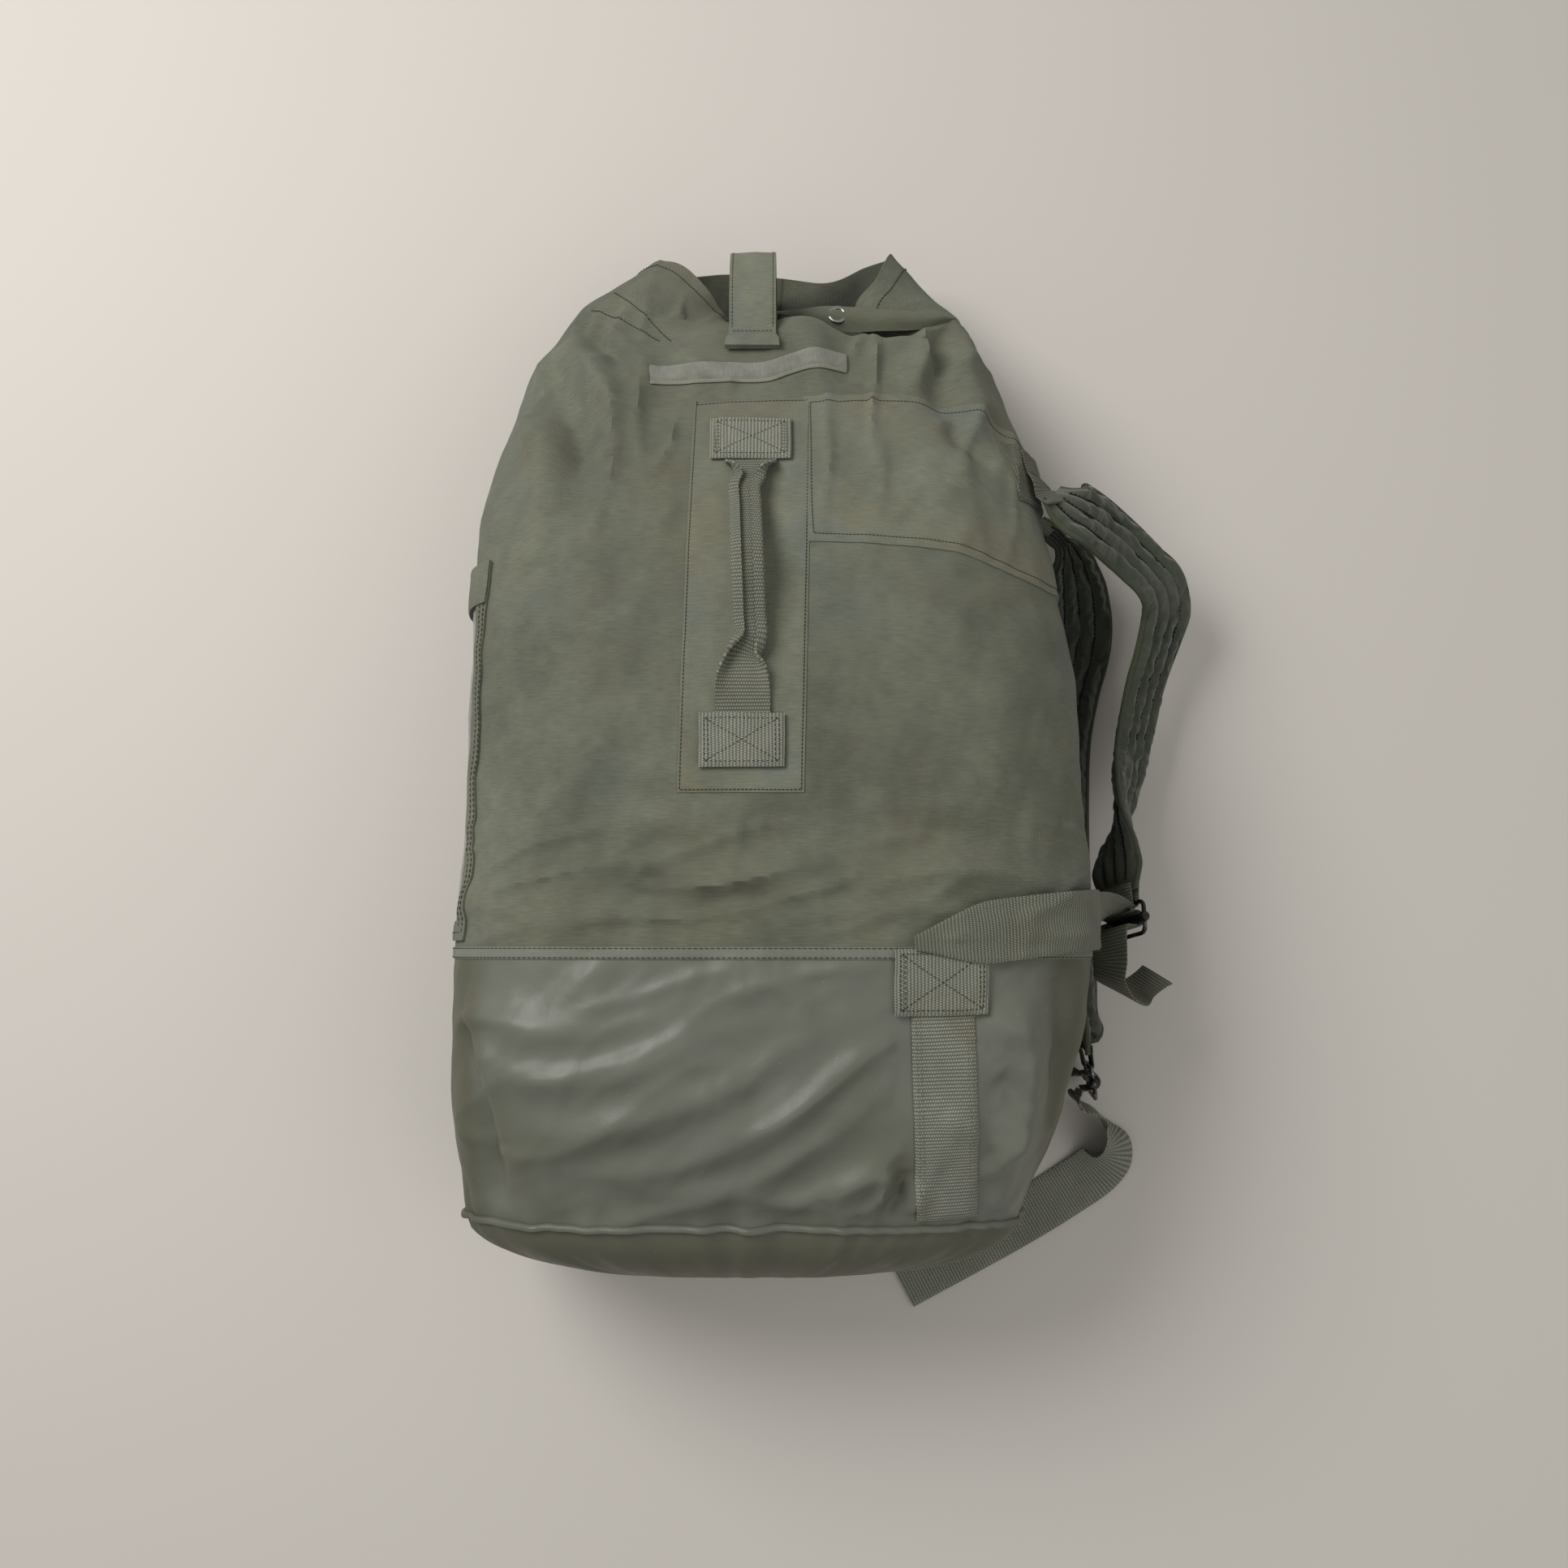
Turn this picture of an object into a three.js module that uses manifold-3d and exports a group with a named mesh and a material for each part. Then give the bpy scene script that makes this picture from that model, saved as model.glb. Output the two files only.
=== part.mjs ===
// A canvas duffel bag with a coated boot, a side handle and two padded shoulder straps.
//
// Millimetres. The bag lies on one of its broad faces: +Z is up from the floor, +Y runs from the base to
// the mouth, and +X points to the side that carries the shoulder straps. The origin is on the floor, under
// the middle of the bag. Worn on the back with the mouth up, the face on top is the wearer's right.
import * as THREE from "three";
import { mergeVertices } from "three/addons/utils/BufferGeometryUtils.js";
import Module from "manifold-3d";

const wasm = await Module();
wasm.setup();

// ---- Driving sizes ---------------------------------------------------------------------------------

const gap = 0.4; // between pieces that touch, and between a sewn layer and what it is sewn to
const bag = {
  width: 492, // strap side to window side
  depth: 268, // floor to handle face
  bootLength: 198, // coated part, from the base seam to its hem
  canvasLength: 498, // from the hem to the collar seam
  baseBulge: 52, // how far the filled base stands out past its seam
  wall: 3,
};
const hemFromOrigin = 143; // the boot's hem lies this far towards the base from the origin
const collar = { front: 34, side: 92, back: 72, rimWidth: 206, rimDepth: 92 };
const hem = { width: 8, thickness: 1.2 };
const piping = { radius: 2.5 };
const web = { width: 45, thickness: 2.4 };
const handle = {
  webWidth: 40, // flat, before it is folded in three
  foldedWidth: 22,
  foldedThickness: 5.4,
  fromHem: 133, // boot hem to the lower edge of the lower anchor
  anchorLength: 60,
  span: 208, // between the anchors' facing edges
  lowerRoot: 56, // where the folds begin, measured from each anchor
  upperRoot: 26,
  rise: 17, // from its ends to the top of its arch
  swingRoom: 10, // from the panel to its ends
  fromMiddle: -16, // its lower end, round from the middle of the face
  lean: 0.022, // towards the strap side for each millimetre along
};
const handlePanel = { width: 92, below: 16, above: 26, thickness: 1.2 };
const nameTape = { length: 150, width: 20, thickness: 1.6, fromCollarSeam: 28 };
const sidePatch = { length: 132, fromCollarSeam: 60, thickness: 1.2, nearEdge: 40 };
const eyelet = { count: 4, hole: 4.5, barrel: 5.6, flange: 8.5, lip: 1.1, fromRim: 20 };
const tab = { width: 38, thickness: 2.6, endWidth: 44, endLength: 8, endThickness: 4, reach: 18 };
const windowPocket = { width: 156, length: 294, border: 14, film: 0.6, cloth: 1.5, fromHem: 9, flap: 32 };
const yoke = { length: 52, fromCollarSeam: 91, width: 152, thickness: 2.4 };
const lowerAnchor = { length: 64, fromMiddle: 90, lap: 4 }; // the lap covers the hem
const pad = { width: 58, thickness: 13, edge: 3, channels: 4, apart: 76 };
const buckle = { railHalf: 28.5, railApart: 26, rod: 1.8, bar: 3, knob: 4.5 };
const loopThickness = web.thickness * 0.8; // of the pad's loop round the rail
const slotRoom = buckle.railApart / 2 - (buckle.rod + gap + loopThickness) - buckle.bar - web.thickness;
const slack = slotRoom / 1.74; // between the slide bar and its webbing, which turns a little nearer the rail

const bootTop = -hemFromOrigin;
const baseSeam = bootTop - bag.bootLength;
const collarSeam = bootTop + bag.canvasLength;
const sidePatchTop = collarSeam - sidePatch.fromCollarSeam;

// ---- Materials -------------------------------------------------------------------------------------

const material = (color, roughness, metalness = 0, extra = {}) =>
  new THREE.MeshStandardMaterial({ color, roughness, metalness, ...extra });
const canvas = material(0x4b4f3f, 0.9);
const coated = material(0x555a4e, 0.45);
const webbing = material(0x53574a, 0.95);
const padCloth = material(0x2f3427, 0.8);
const darkMetal = material(0x1c1c1c, 0.35, 0.9);
const brightMetal = material(0x8f9090, 0.3, 1);
const loopTape = material(0x6b6c60, 1);
const film = material(0xa9a7ac, 0.2, 0, { transparent: true, opacity: 0.5 });

// ---- Solids from points ----------------------------------------------------------------------------

const V = (x, y, z) => new THREE.Vector3(x, y, z);
const lerp = THREE.MathUtils.lerp;
const steps = (from, to, count) => Array.from({ length: count + 1 }, (_, k) => lerp(from, to, k / count));

// A closed geometry with its faces turned out. Triangles that collapse at a pole are dropped.
function closedGeometry(points, faces) {
  const raw = new THREE.BufferGeometry();
  raw.setAttribute("position", new THREE.Float32BufferAttribute(points.flatMap((p) => p.toArray()), 3));
  raw.setIndex(faces);
  const merged = mergeVertices(raw, 1e-4);
  const old = merged.index.array;
  const at = (i) => new THREE.Vector3().fromBufferAttribute(merged.attributes.position, i);
  let kept = [];
  let volume = 0;
  for (let k = 0; k < old.length; k += 3) {
    const [a, b, c] = [old[k], old[k + 1], old[k + 2]];
    if (a === b || b === c || c === a) continue;
    kept.push([a, b, c]);
    volume += at(a).dot(at(b).cross(at(c)));
  }
  if (volume < 0) kept = kept.map(([a, b, c]) => [a, c, b]);
  merged.setIndex(kept.flat());
  merged.computeVertexNormals();
  return merged;
}

// The sheet between two grids of points with the same rows and columns. A ring's rows close on themselves.
function sheet(outer, inner, ring = false) {
  const rows = outer.length;
  const columns = outer[0].length;
  const spans = ring ? columns : columns - 1;
  const id = (side, j, i) => (side * rows + j) * columns + (i % columns);
  const faces = [];
  const quad = (a, b, c, d) => faces.push(a, b, c, a, c, d);
  for (let i = 0; i < spans; i++) {
    for (let j = 0; j < rows - 1; j++) {
      quad(id(0, j, i), id(0, j, i + 1), id(0, j + 1, i + 1), id(0, j + 1, i));
      quad(id(1, j, i), id(1, j + 1, i), id(1, j + 1, i + 1), id(1, j, i + 1));
    }
    const last = rows - 1;
    quad(id(0, 0, i), id(1, 0, i), id(1, 0, i + 1), id(0, 0, i + 1));
    quad(id(0, last, i), id(0, last, i + 1), id(1, last, i + 1), id(1, last, i));
  }
  for (let j = 0; j < rows - 1 && !ring; j++) {
    quad(id(0, j, 0), id(0, j + 1, 0), id(1, j + 1, 0), id(1, j, 0));
    quad(id(0, j, spans), id(1, j, spans), id(1, j + 1, spans), id(0, j + 1, spans));
  }
  return closedGeometry([...outer.flat(), ...inner.flat()], faces);
}

// Places along a curve through hand-set keys. Each has a point, the direction across the strip, and its face.
function along(keys, count) {
  const route = new THREE.CatmullRomCurve3(keys.map((k) => k.at));
  const turning = new THREE.CatmullRomCurve3(keys.map((k) => k.across));
  return steps(0, 1, count).map((u) => {
    const t = route.getUtoTmapping(u);
    const forward = route.getTangent(t);
    const across = turning.getPoint(t);
    across.addScaledVector(forward, -across.dot(forward)).normalize();
    return { u, at: route.getPoint(t), across, face: across.clone().cross(forward).normalize() };
  });
}

const offset = (f, side, up) => f.at.clone().addScaledVector(f.across, side).addScaledVector(f.face, up);

// A flat strip of webbing or cloth. Its width and thickness may change along it.
function strip(frames, width, thickness) {
  const of = (size, u) => (typeof size === "function" ? size(u) : size);
  const face = (side) => frames.map((f) => [-0.5, 0.5].map(
    (c) => offset(f, c * of(width, f.u), (side * of(thickness, f.u)) / 2)));
  return sheet(face(1), face(-1));
}

// A constant section swept along frames, with flat ends or closed into a loop.
function sweep(frames, profile, loop = false) {
  const points = frames.flatMap((f) => profile.map((q) => offset(f, q.x, q.y)));
  const n = profile.length;
  const faces = [];
  for (let j = 0; j < frames.length - (loop ? 0 : 1); j++)
    for (let i = 0; i < n; i++) {
      const [a, b] = [j * n, ((j + 1) % frames.length) * n];
      const next = (i + 1) % n;
      faces.push(a + i, a + next, b + next, a + i, b + next, b + i);
    }
  if (!loop)
    for (const [p, q, r] of THREE.ShapeUtils.triangulateShape(profile, [])) {
      const end = (frames.length - 1) * n;
      faces.push(r, q, p, end + p, end + q, end + r);
    }
  return closedGeometry(points, faces);
}

const circle = (radius, sides) =>
  new THREE.Path().absarc(0, 0, radius, 0, 2 * Math.PI).getSpacedPoints(sides).slice(0, sides);

const asManifold = (geometry) => {
  const bare = geometry.clone();
  ["normal", "uv"].forEach((name) => bare.deleteAttribute(name));
  const merged = mergeVertices(bare, 1e-4);
  return new wasm.Manifold(new wasm.Mesh({
    numProp: 3,
    vertProperties: new Float32Array(merged.attributes.position.array),
    triVerts: new Uint32Array(merged.index.array),
  }));
};
const asGeometry = (solid) => {
  const mesh = solid.getMesh();
  const made = new THREE.BufferGeometry();
  made.setAttribute("position", new THREE.BufferAttribute(new Float32Array(mesh.vertProperties), 3));
  made.setIndex(new THREE.BufferAttribute(new Uint32Array(mesh.triVerts), 1));
  made.computeVertexNormals();
  return made;
};
const meet = (a, b) => asGeometry(asManifold(a).intersect(asManifold(b)));
const cut = (from, ...tools) => asGeometry(tools.reduce((s, t) => s.subtract(asManifold(t)), asManifold(from)));
const join = (first, ...others) => asGeometry(others.reduce((s, t) => s.add(asManifold(t)), asManifold(first)));

// ---- The filled bag's outer face -------------------------------------------------------------------

// Sections from the base seam to the collar seam: share of the way; then half width and sideways shift, both
// as shares of half the bag's width; depth as a share of its depth; height off the floor; squareness.
const stations = [
  [0.0, 0.875, -0.083, 0.8, 12, 2.9],
  [0.1, 0.955, -0.05, 0.94, 2, 3.0],
  [0.25, 0.995, 0.001, 1.0, 0, 3.0],
  [0.42, 0.992, 0.018, 1.0, 0, 2.9],
  [0.6, 0.973, 0.004, 0.97, 0, 2.8],
  [0.75, 0.945, -0.03, 0.885, 0, 2.7],
  [0.87, 0.89, -0.031, 0.77, 0, 2.6],
  [0.95, 0.83, -0.032, 0.645, 4, 2.5],
  [1.0, 0.78, -0.05, 0.56, 8, 2.5],
];
const outline = new THREE.CubicInterpolant(
  stations.map((s) => s[0]), stations.flatMap((s) => s.slice(1)), stations[0].length - 1);
const settle = 4; // the underside is pressed flat where the round section would reach this far into the floor

const webLayers = 3 * (web.thickness + gap) + 2 * gap; // sewn under the strap side of the boot
const underWeb = { from: lowerAnchor.fromMiddle - 30, to: lowerAnchor.fromMiddle - 4, past: 36, fade: 60 };
const underHem = 20; // each side of the hem, where its lift fades
// Past the edges of the side patch, where its lift fades in and out.
const underPatch = { near: [60, 20], low: [80, 35], high: [40, 60] };

// How far the underside is held off the floor by the webbing and the cloth that lie under it.
function restHeight(x, y) {
  const smooth = THREE.MathUtils.smoothstep;
  const overWebbing = smooth(x, underWeb.from, underWeb.to)
    * (1 - smooth(y, bootTop + underWeb.past, bootTop + underWeb.past + underWeb.fade));
  const overHem = Math.max(0, 1 - Math.abs(y - bootTop) / underHem);
  const patchBottom = sidePatchTop - sidePatch.length;
  const overPatch = smooth(x, ...underPatch.near.map((past) => sidePatch.nearEdge - past))
    * smooth(y, ...underPatch.low.map((past) => patchBottom - past))
    * (1 - smooth(y, ...underPatch.high.map((past) => sidePatchTop + past)));
  return Math.max(webLayers * overWebbing, (hem.thickness + 2 * gap) * overHem,
    (sidePatch.thickness + 2 * gap) * overPatch);
}

function sectionAt(y) {
  const [halfWidth, shift, depth, lift, power] = [
    ...outline.evaluate((y - baseSeam) / (collarSeam - baseSeam)),
  ];
  const halfDepth = (depth * bag.depth) / 2;
  return {
    y, power, halfDepth,
    halfWidth: (halfWidth * bag.width) / 2,
    x: (shift * bag.width) / 2,
    z: halfDepth + lift - settle,
  };
}

// A point of a section. The angle is 0 in the middle of the top face and a quarter turn on the strap side.
function ringPoint(section, angle, out = 0) {
  const squared = (v) => Math.sign(v) * Math.abs(v) ** (2 / section.power);
  const [across, up] = [squared(Math.sin(angle)), squared(Math.cos(angle))];
  const resting = restHeight(section.x + section.halfWidth * across, section.y);
  const z = section.z + (section.halfDepth + out) * up;
  return V(section.x + (section.halfWidth + out) * across, section.y, Math.max(z, resting - out));
}

// The angles that share out each side of a section by cloth length, from the middle of the top face.
const around = 36; // columns of cloth round a section
const half = around / 2;
const cached = (make) => {
  const kept = new Map();
  return (...args) => {
    const key = args.map((a) => a.toFixed(4)).join(" ");
    if (!kept.has(key)) kept.set(key, make(...args));
    return kept.get(key);
  };
};
const columnAngles = cached((y) => {
  const section = sectionAt(y);
  return [1, -1].map((side) => {
    const fine = steps(0, side * Math.PI, 240);
    const lengths = [0];
    fine.slice(1).forEach((a, k) =>
      lengths.push(lengths[k] + ringPoint(section, a).distanceTo(ringPoint(section, fine[k]))));
    let k = 1;
    return steps(0, lengths.at(-1), half).map((want) => {
      while (k < fine.length - 1 && lengths[k] < want) k++;
      return lerp(fine[k - 1], fine[k], (want - lengths[k - 1]) / (lengths[k] - lengths[k - 1]));
    });
  });
});
const ringOfCloth = cached((y, out) => {
  const [strapSide, farSide] = columnAngles(y);
  const section = sectionAt(y);
  return [...strapSide, ...farSide.slice(1, -1).reverse()].map((a) => ringPoint(section, a, out));
});

// Places along the bag where the cloth has a row of points.
const ends = gap / 2;
const bootRows = [baseSeam + ends, ...steps(baseSeam + 22, bootTop - 20, 4), bootTop - ends];
const bodyRows = [bootTop + ends, ...steps(bootTop + 20, collarSeam - 22, 9), collarSeam - ends];
const rows = [...bootRows, ...bodyRows];

// The cloth's columns at any place along, straight between two rows.
const columnsAt = cached((y, out) => {
  let k = 1;
  while (k < rows.length - 1 && rows[k] < y) k++;
  const share = THREE.MathUtils.clamp((y - rows[k - 1]) / (rows[k] - rows[k - 1]), 0, 1);
  const next = ringOfCloth(rows[k], out);
  return ringOfCloth(rows[k - 1], out).map((p, c) => V(0, y, 0).setX(lerp(p.x, next[c].x, share))
    .setZ(lerp(p.z, next[c].z, share)));
});

// Cloth lengths from the middle of the top face to each column of one side.
const columnLengths = cached((y, side) => {
  const ring = columnsAt(y, 0);
  const lengths = [0];
  for (let k = 1; k <= half; k++)
    lengths.push(lengths[k - 1] + ring.at(side * k).distanceTo(ring.at(side * (k - 1))));
  return lengths;
});
const halfGirth = (y, side = 1) => columnLengths(y, side).at(-1);

// The point at cloth length s round from the middle of the top face, with the strap side positive, and
// `out` off the cloth.
function onBag(y, s, out = 0) {
  const side = s < 0 ? -1 : 1;
  const lengths = columnLengths(y, side);
  let k = 1;
  while (k < half && lengths[k] < Math.abs(s)) k++;
  const share = (Math.abs(s) - lengths[k - 1]) / (lengths[k] - lengths[k - 1]);
  const ring = columnsAt(y, out);
  return ring.at(side * (k - 1)).clone().lerp(ring.at(side * k), share);
}

// Cloth length from the middle of the top face to the middle of a side, where the section is widest.
const sideLength = cached((y, side = 1) => {
  const ring = columnsAt(y, 0);
  const reach = Array.from({ length: half + 1 }, (_, k) => side * ring.at(side * k).x);
  const widest = reach.indexOf(Math.max(...reach));
  const lengths = columnLengths(y, side);
  const [before, at, after] = [widest - 1, widest, widest + 1].map((k) => reach[k]);
  const peak = (after - before) / (2 * (2 * at - before - after));
  return lerp(lengths[widest], lengths[widest + Math.sign(peak)], Math.abs(peak));
});

// The y that lies `length` along the cloth from y, in the middle of the top face.
function walk(y, length) {
  const step = Math.sign(length);
  let left = Math.abs(length);
  while (left > 0) {
    const next = y + step * Math.min(1, left);
    left -= Math.max(onBag(y, 0).distanceTo(onBag(next, 0)), 1e-3);
    y = next;
  }
  return y;
}

// A layer of cloth all round the bag, from which sewn pieces are cut to their outline.
const layer = cached((out, thickness) =>
  sheet(rows.map((y) => ringOfCloth(y, out + thickness)), rows.map((y) => ringOfCloth(y, out)), true));

// A sewn piece: the layer inside an outline. The outline is a grid of [length round, place along].
function prism(grid, out) {
  const reach = 10; // past the cloth, both ways
  const face = (o) => grid.map((row) => row.map(([s, y]) => onBag(y, s, o)));
  return sheet(face(out + reach), face(out - reach));
}
const sewn = (grid, out, thickness) => meet(layer(out, thickness), prism(grid, out));
const spaced = (from, to, apart) => steps(from, to, Math.max(1, Math.round(Math.abs(to - from) / apart)));
// A grid between two places along, where round(y) gives the two lengths round at a place.
const gridOf = (y0, y1, round) =>
  spaced(y0, y1, 40).map((y) => spaced(round(y)[0], round(y)[1], 30).map((s) => [s, y]));
// The same with as many columns in every row.
const evenGrid = (y0, y1, round, columns) =>
  spaced(y0, y1, 40).map((y) => steps(round(y)[0], round(y)[1], columns).map((s) => [s, y]));
const patch = ({ s, y, out = gap, thickness }) => sewn(gridOf(y[0], y[1], () => s), out, thickness);

// ---- Shells ----------------------------------------------------------------------------------------

const tube = (places) => sheet(
  places.map((y) => ringOfCloth(y, 0)), places.map((y) => ringOfCloth(y, -bag.wall)), true);

// The base panel bulges out past its seam as a shallow dome.
function basePanel() {
  const edge = sectionAt(baseSeam);
  const dome = (out) => steps(1, 0, 4).map((share) => {
    const bulge = bag.baseBulge * Math.sqrt(1 - share ** 2.6);
    return ringOfCloth(baseSeam, 0).map((p) => V(
      lerp(edge.x, p.x, share * (1 + out / edge.halfWidth)), baseSeam - ends - bulge - out,
      lerp(edge.z, p.z, share * (1 + out / edge.halfDepth))));
  });
  const inner = dome(-bag.wall).map((row) => row.map((p) => V(p.x, Math.min(p.y, baseSeam - ends), p.z)));
  return sheet(dome(0), inner, true);
}

function basePiping() {
  const ring = ringOfCloth(baseSeam, piping.radius + gap);
  const frames = ring.map((at, k) => {
    const forward = ring[(k + 1) % around].clone().sub(ring.at(k - 1)).normalize();
    const across = V(0, 1, 0);
    return { at, across, face: across.clone().cross(forward) };
  });
  return sweep(frames, circle(piping.radius, 5), true);
}

function bootHem() {
  const places = [bootTop - hem.width / 2, bootTop, bootTop + hem.width / 2];
  return sheet(places.map((y) => ringOfCloth(y, gap + hem.thickness)), places.map((y) => ringOfCloth(y, gap)), true);
}

// ---- Collar and closure ----------------------------------------------------------------------------

// How far the collar stands past its seam, by the angle round the section: low in front, high at the sides.
function collarLength(angle) {
  const middle = Math.cos(angle) > 0 ? collar.front : collar.back;
  return middle + (collar.side - middle) * Math.sin(angle) ** 2;
}

// A point of the collar, at a share of its length from the seam to the rim.
function collarPoint(angle, share, out = 0) {
  const seam = sectionAt(collarSeam);
  const narrowing = share ** 1.2;
  return ringPoint({
    y: collarSeam + ends + share * (collarLength(angle) - ends),
    power: seam.power,
    x: seam.x,
    z: seam.z,
    halfWidth: lerp(seam.halfWidth, collar.rimWidth / 2, narrowing),
    halfDepth: lerp(seam.halfDepth, collar.rimDepth / 2, narrowing),
  }, angle, out);
}

const collarAngles = (([strapSide, farSide]) =>
  [...strapSide, ...farSide.slice(1, -1).reverse()])(columnAngles(collarSeam));
const collarGrid = (out) => steps(0, 1, 4).map((share) => collarAngles.map((a) => collarPoint(a, share, out)));
const collarLayer = (from, to) => sheet(collarGrid(to), collarGrid(from), true);

const eyeletAngles = steps(0, 2 * Math.PI, eyelet.count).slice(1).map((a) => a - 1.15);

// Where an eyelet sits in the collar, as a matrix whose Z axis points out of the cloth.
function eyeletPlace(angle) {
  const share = 1 - eyelet.fromRim / Math.hypot(collarLength(angle), 40);
  const middle = collarPoint(angle, share, -bag.wall / 2);
  const alongCloth = collarPoint(angle, share + 0.05).sub(collarPoint(angle, share - 0.05)).normalize();
  const roundCloth = collarPoint(angle + 0.05, share).sub(collarPoint(angle - 0.05, share)).normalize();
  const out = roundCloth.clone().cross(alongCloth).normalize();
  const inside = V(sectionAt(collarSeam).x, middle.y, sectionAt(collarSeam).z);
  if (out.dot(middle.clone().sub(inside)) < 0) out.negate();
  return new THREE.Matrix4().makeBasis(alongCloth, out.clone().cross(alongCloth), out).setPosition(middle);
}

// Two flanges on a barrel that passes through the cloth.
function eyeletGeometry() {
  const bendRoom = 1.1; // for the bend of the cloth under the flange
  const face = bag.wall / 2 + gap + bendRoom;
  const profile = [
    [eyelet.hole, -face - eyelet.lip], [eyelet.flange, -face - eyelet.lip * 0.5], [eyelet.flange, -face],
    [eyelet.barrel, -face], [eyelet.barrel, face], [eyelet.flange, face],
    [eyelet.flange, face + eyelet.lip * 0.5], [eyelet.hole, face + eyelet.lip],
  ].map(([r, z]) => new THREE.Vector2(r, z));
  return new THREE.LatheGeometry([...profile, profile[0]], 14).rotateX(Math.PI / 2);
}
const eyeletHole = () => {
  const radius = eyelet.barrel + gap;
  return new THREE.CylinderGeometry(radius, radius, 4 * bag.wall, 14).rotateX(Math.PI / 2);
};
const collarShell = () => cut(collarLayer(-bag.wall, 0),
  ...eyeletAngles.map((a) => eyeletHole().applyMatrix4(eyeletPlace(a))));

// The closing tab is sewn outside the back of the collar. It folds over the mouth and lies on the front.
const tabX = sectionAt(collarSeam).x - 3;
const tabRim = collarPoint(Math.PI, 1, gap);
function tabRoot() {
  const length = collar.back / 2;
  return meet(collarLayer(gap, gap + tab.thickness),
    new THREE.BoxGeometry(tab.width, length, collar.rimDepth).translate(tabX, tabRim.y - length / 2, tabRim.z));
}
const tabStart = V(tabX, tabRim.y + gap, tabRim.z - tab.thickness / 2);
const tabHinge = tabStart.clone().add(V(0, 0, -tab.thickness / 2));
function closureTab() {
  const onFront = (y, out) => onBag(y, 0, gap + tab.endThickness / 2 + out).setX(tabX);
  const end = onFront(collarSeam - tab.reach, 0.6);
  const top = collarPoint(0, 1, 0);
  const keys = [
    tabStart,
    V(tabX, tabStart.y + 3, tabStart.z + 0.2),
    V(tabX, tabStart.y + 9, tabStart.z + 9),
    V(tabX, tabStart.y + 12, lerp(tabStart.z, end.z, 0.45)),
    V(tabX, tabStart.y + 4, lerp(tabStart.z, end.z, 0.82)),
    V(tabX, lerp(tabStart.y, top.y, 0.75), end.z + 2),
    V(tabX, collarSeam + 6, end.z + 6),
    end,
  ].map((at) => ({ at, across: V(1, 0, 0) }));
  const frames = along(keys, 20);
  const length = frames.slice(1).reduce((sum, f, k) => sum + f.at.distanceTo(frames[k].at), 0);
  const thick = 1 - tab.endLength / length;
  return strip(frames,
    (u) => (u > thick ? tab.endWidth : tab.width), (u) => (u > thick ? tab.endThickness : tab.thickness));
}

// ---- Face of the bag: handle, panels and tape -------------------------------------------------------

const handleY0 = bootTop + handle.fromHem; // lower edge of the lower anchor
const handleY1 = walk(handleY0, handle.webWidth); // facing edges of the anchors
const handleY2 = walk(handleY1, handle.span);
const handleY3 = walk(handleY2, handle.webWidth);
const handleS = (y) => handle.fromMiddle + handle.lean * (y - handleY0);
const overPanel = 2 * gap + handlePanel.thickness;

const alongHandle = (y0, y1, width, out, thickness) => sewn(evenGrid(y0, y1,
  (y) => [handleS(y) - width / 2, handleS(y) + width / 2], Math.ceil(width / 40)), out, thickness);
const handlePanelCloth = () => alongHandle(walk(handleY0, -handlePanel.below), walk(handleY3, handlePanel.above),
  handlePanel.width, gap, handlePanel.thickness);
// The anchors lie over the handle's sewn ends.
const handleAnchor = (y0, y1) =>
  alongHandle(y0, y1, handle.anchorLength, overPanel + web.thickness + gap, web.thickness);

// The handle's webbing is flat where it is sewn, and folded in three with its edges meeting where it is held.
const gripEnds = [handleY1 + handle.lowerRoot, handleY2 - handle.upperRoot].map(
  (y) => onBag(y, handleS(y), overPanel + handle.swingRoom));
function handleRoot(sewnY, edgeY, end) {
  const toGrip = Math.sign(end.y - edgeY);
  const lap = 3; // the sewn and the free stretch share this much
  const [y0, y1] = [sewnY, edgeY + toGrip * lap].sort((a, b) => a - b);
  const flat = alongHandle(y0, y1, handle.webWidth, overPanel, web.thickness);
  const lift = (y, up) => onBag(y, handleS(y), overPanel + web.thickness / 2 + up);
  const far = lerp(edgeY, end.y, 0.45);
  const back = gripEnds[1].clone().sub(gripEnds[0]).normalize().multiplyScalar(-toGrip);
  const keys = [lift(edgeY, 0), lift(edgeY + toGrip * (lap + 2), 0.4), lift(far, handle.swingRoom * 0.4),
    end.clone().addScaledVector(back, 7), end.clone().addScaledVector(back, gap + 0.2)];
  const frames = along(keys.map((at) => ({ at, across: V(1, 0, 0) })), 8);
  return join(flat, strip(frames,
    (u) => lerp(handle.webWidth - 0.2, handle.foldedWidth, THREE.MathUtils.smoothstep(u, 0.45, 1)),
    web.thickness - 0.2));
}

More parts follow.
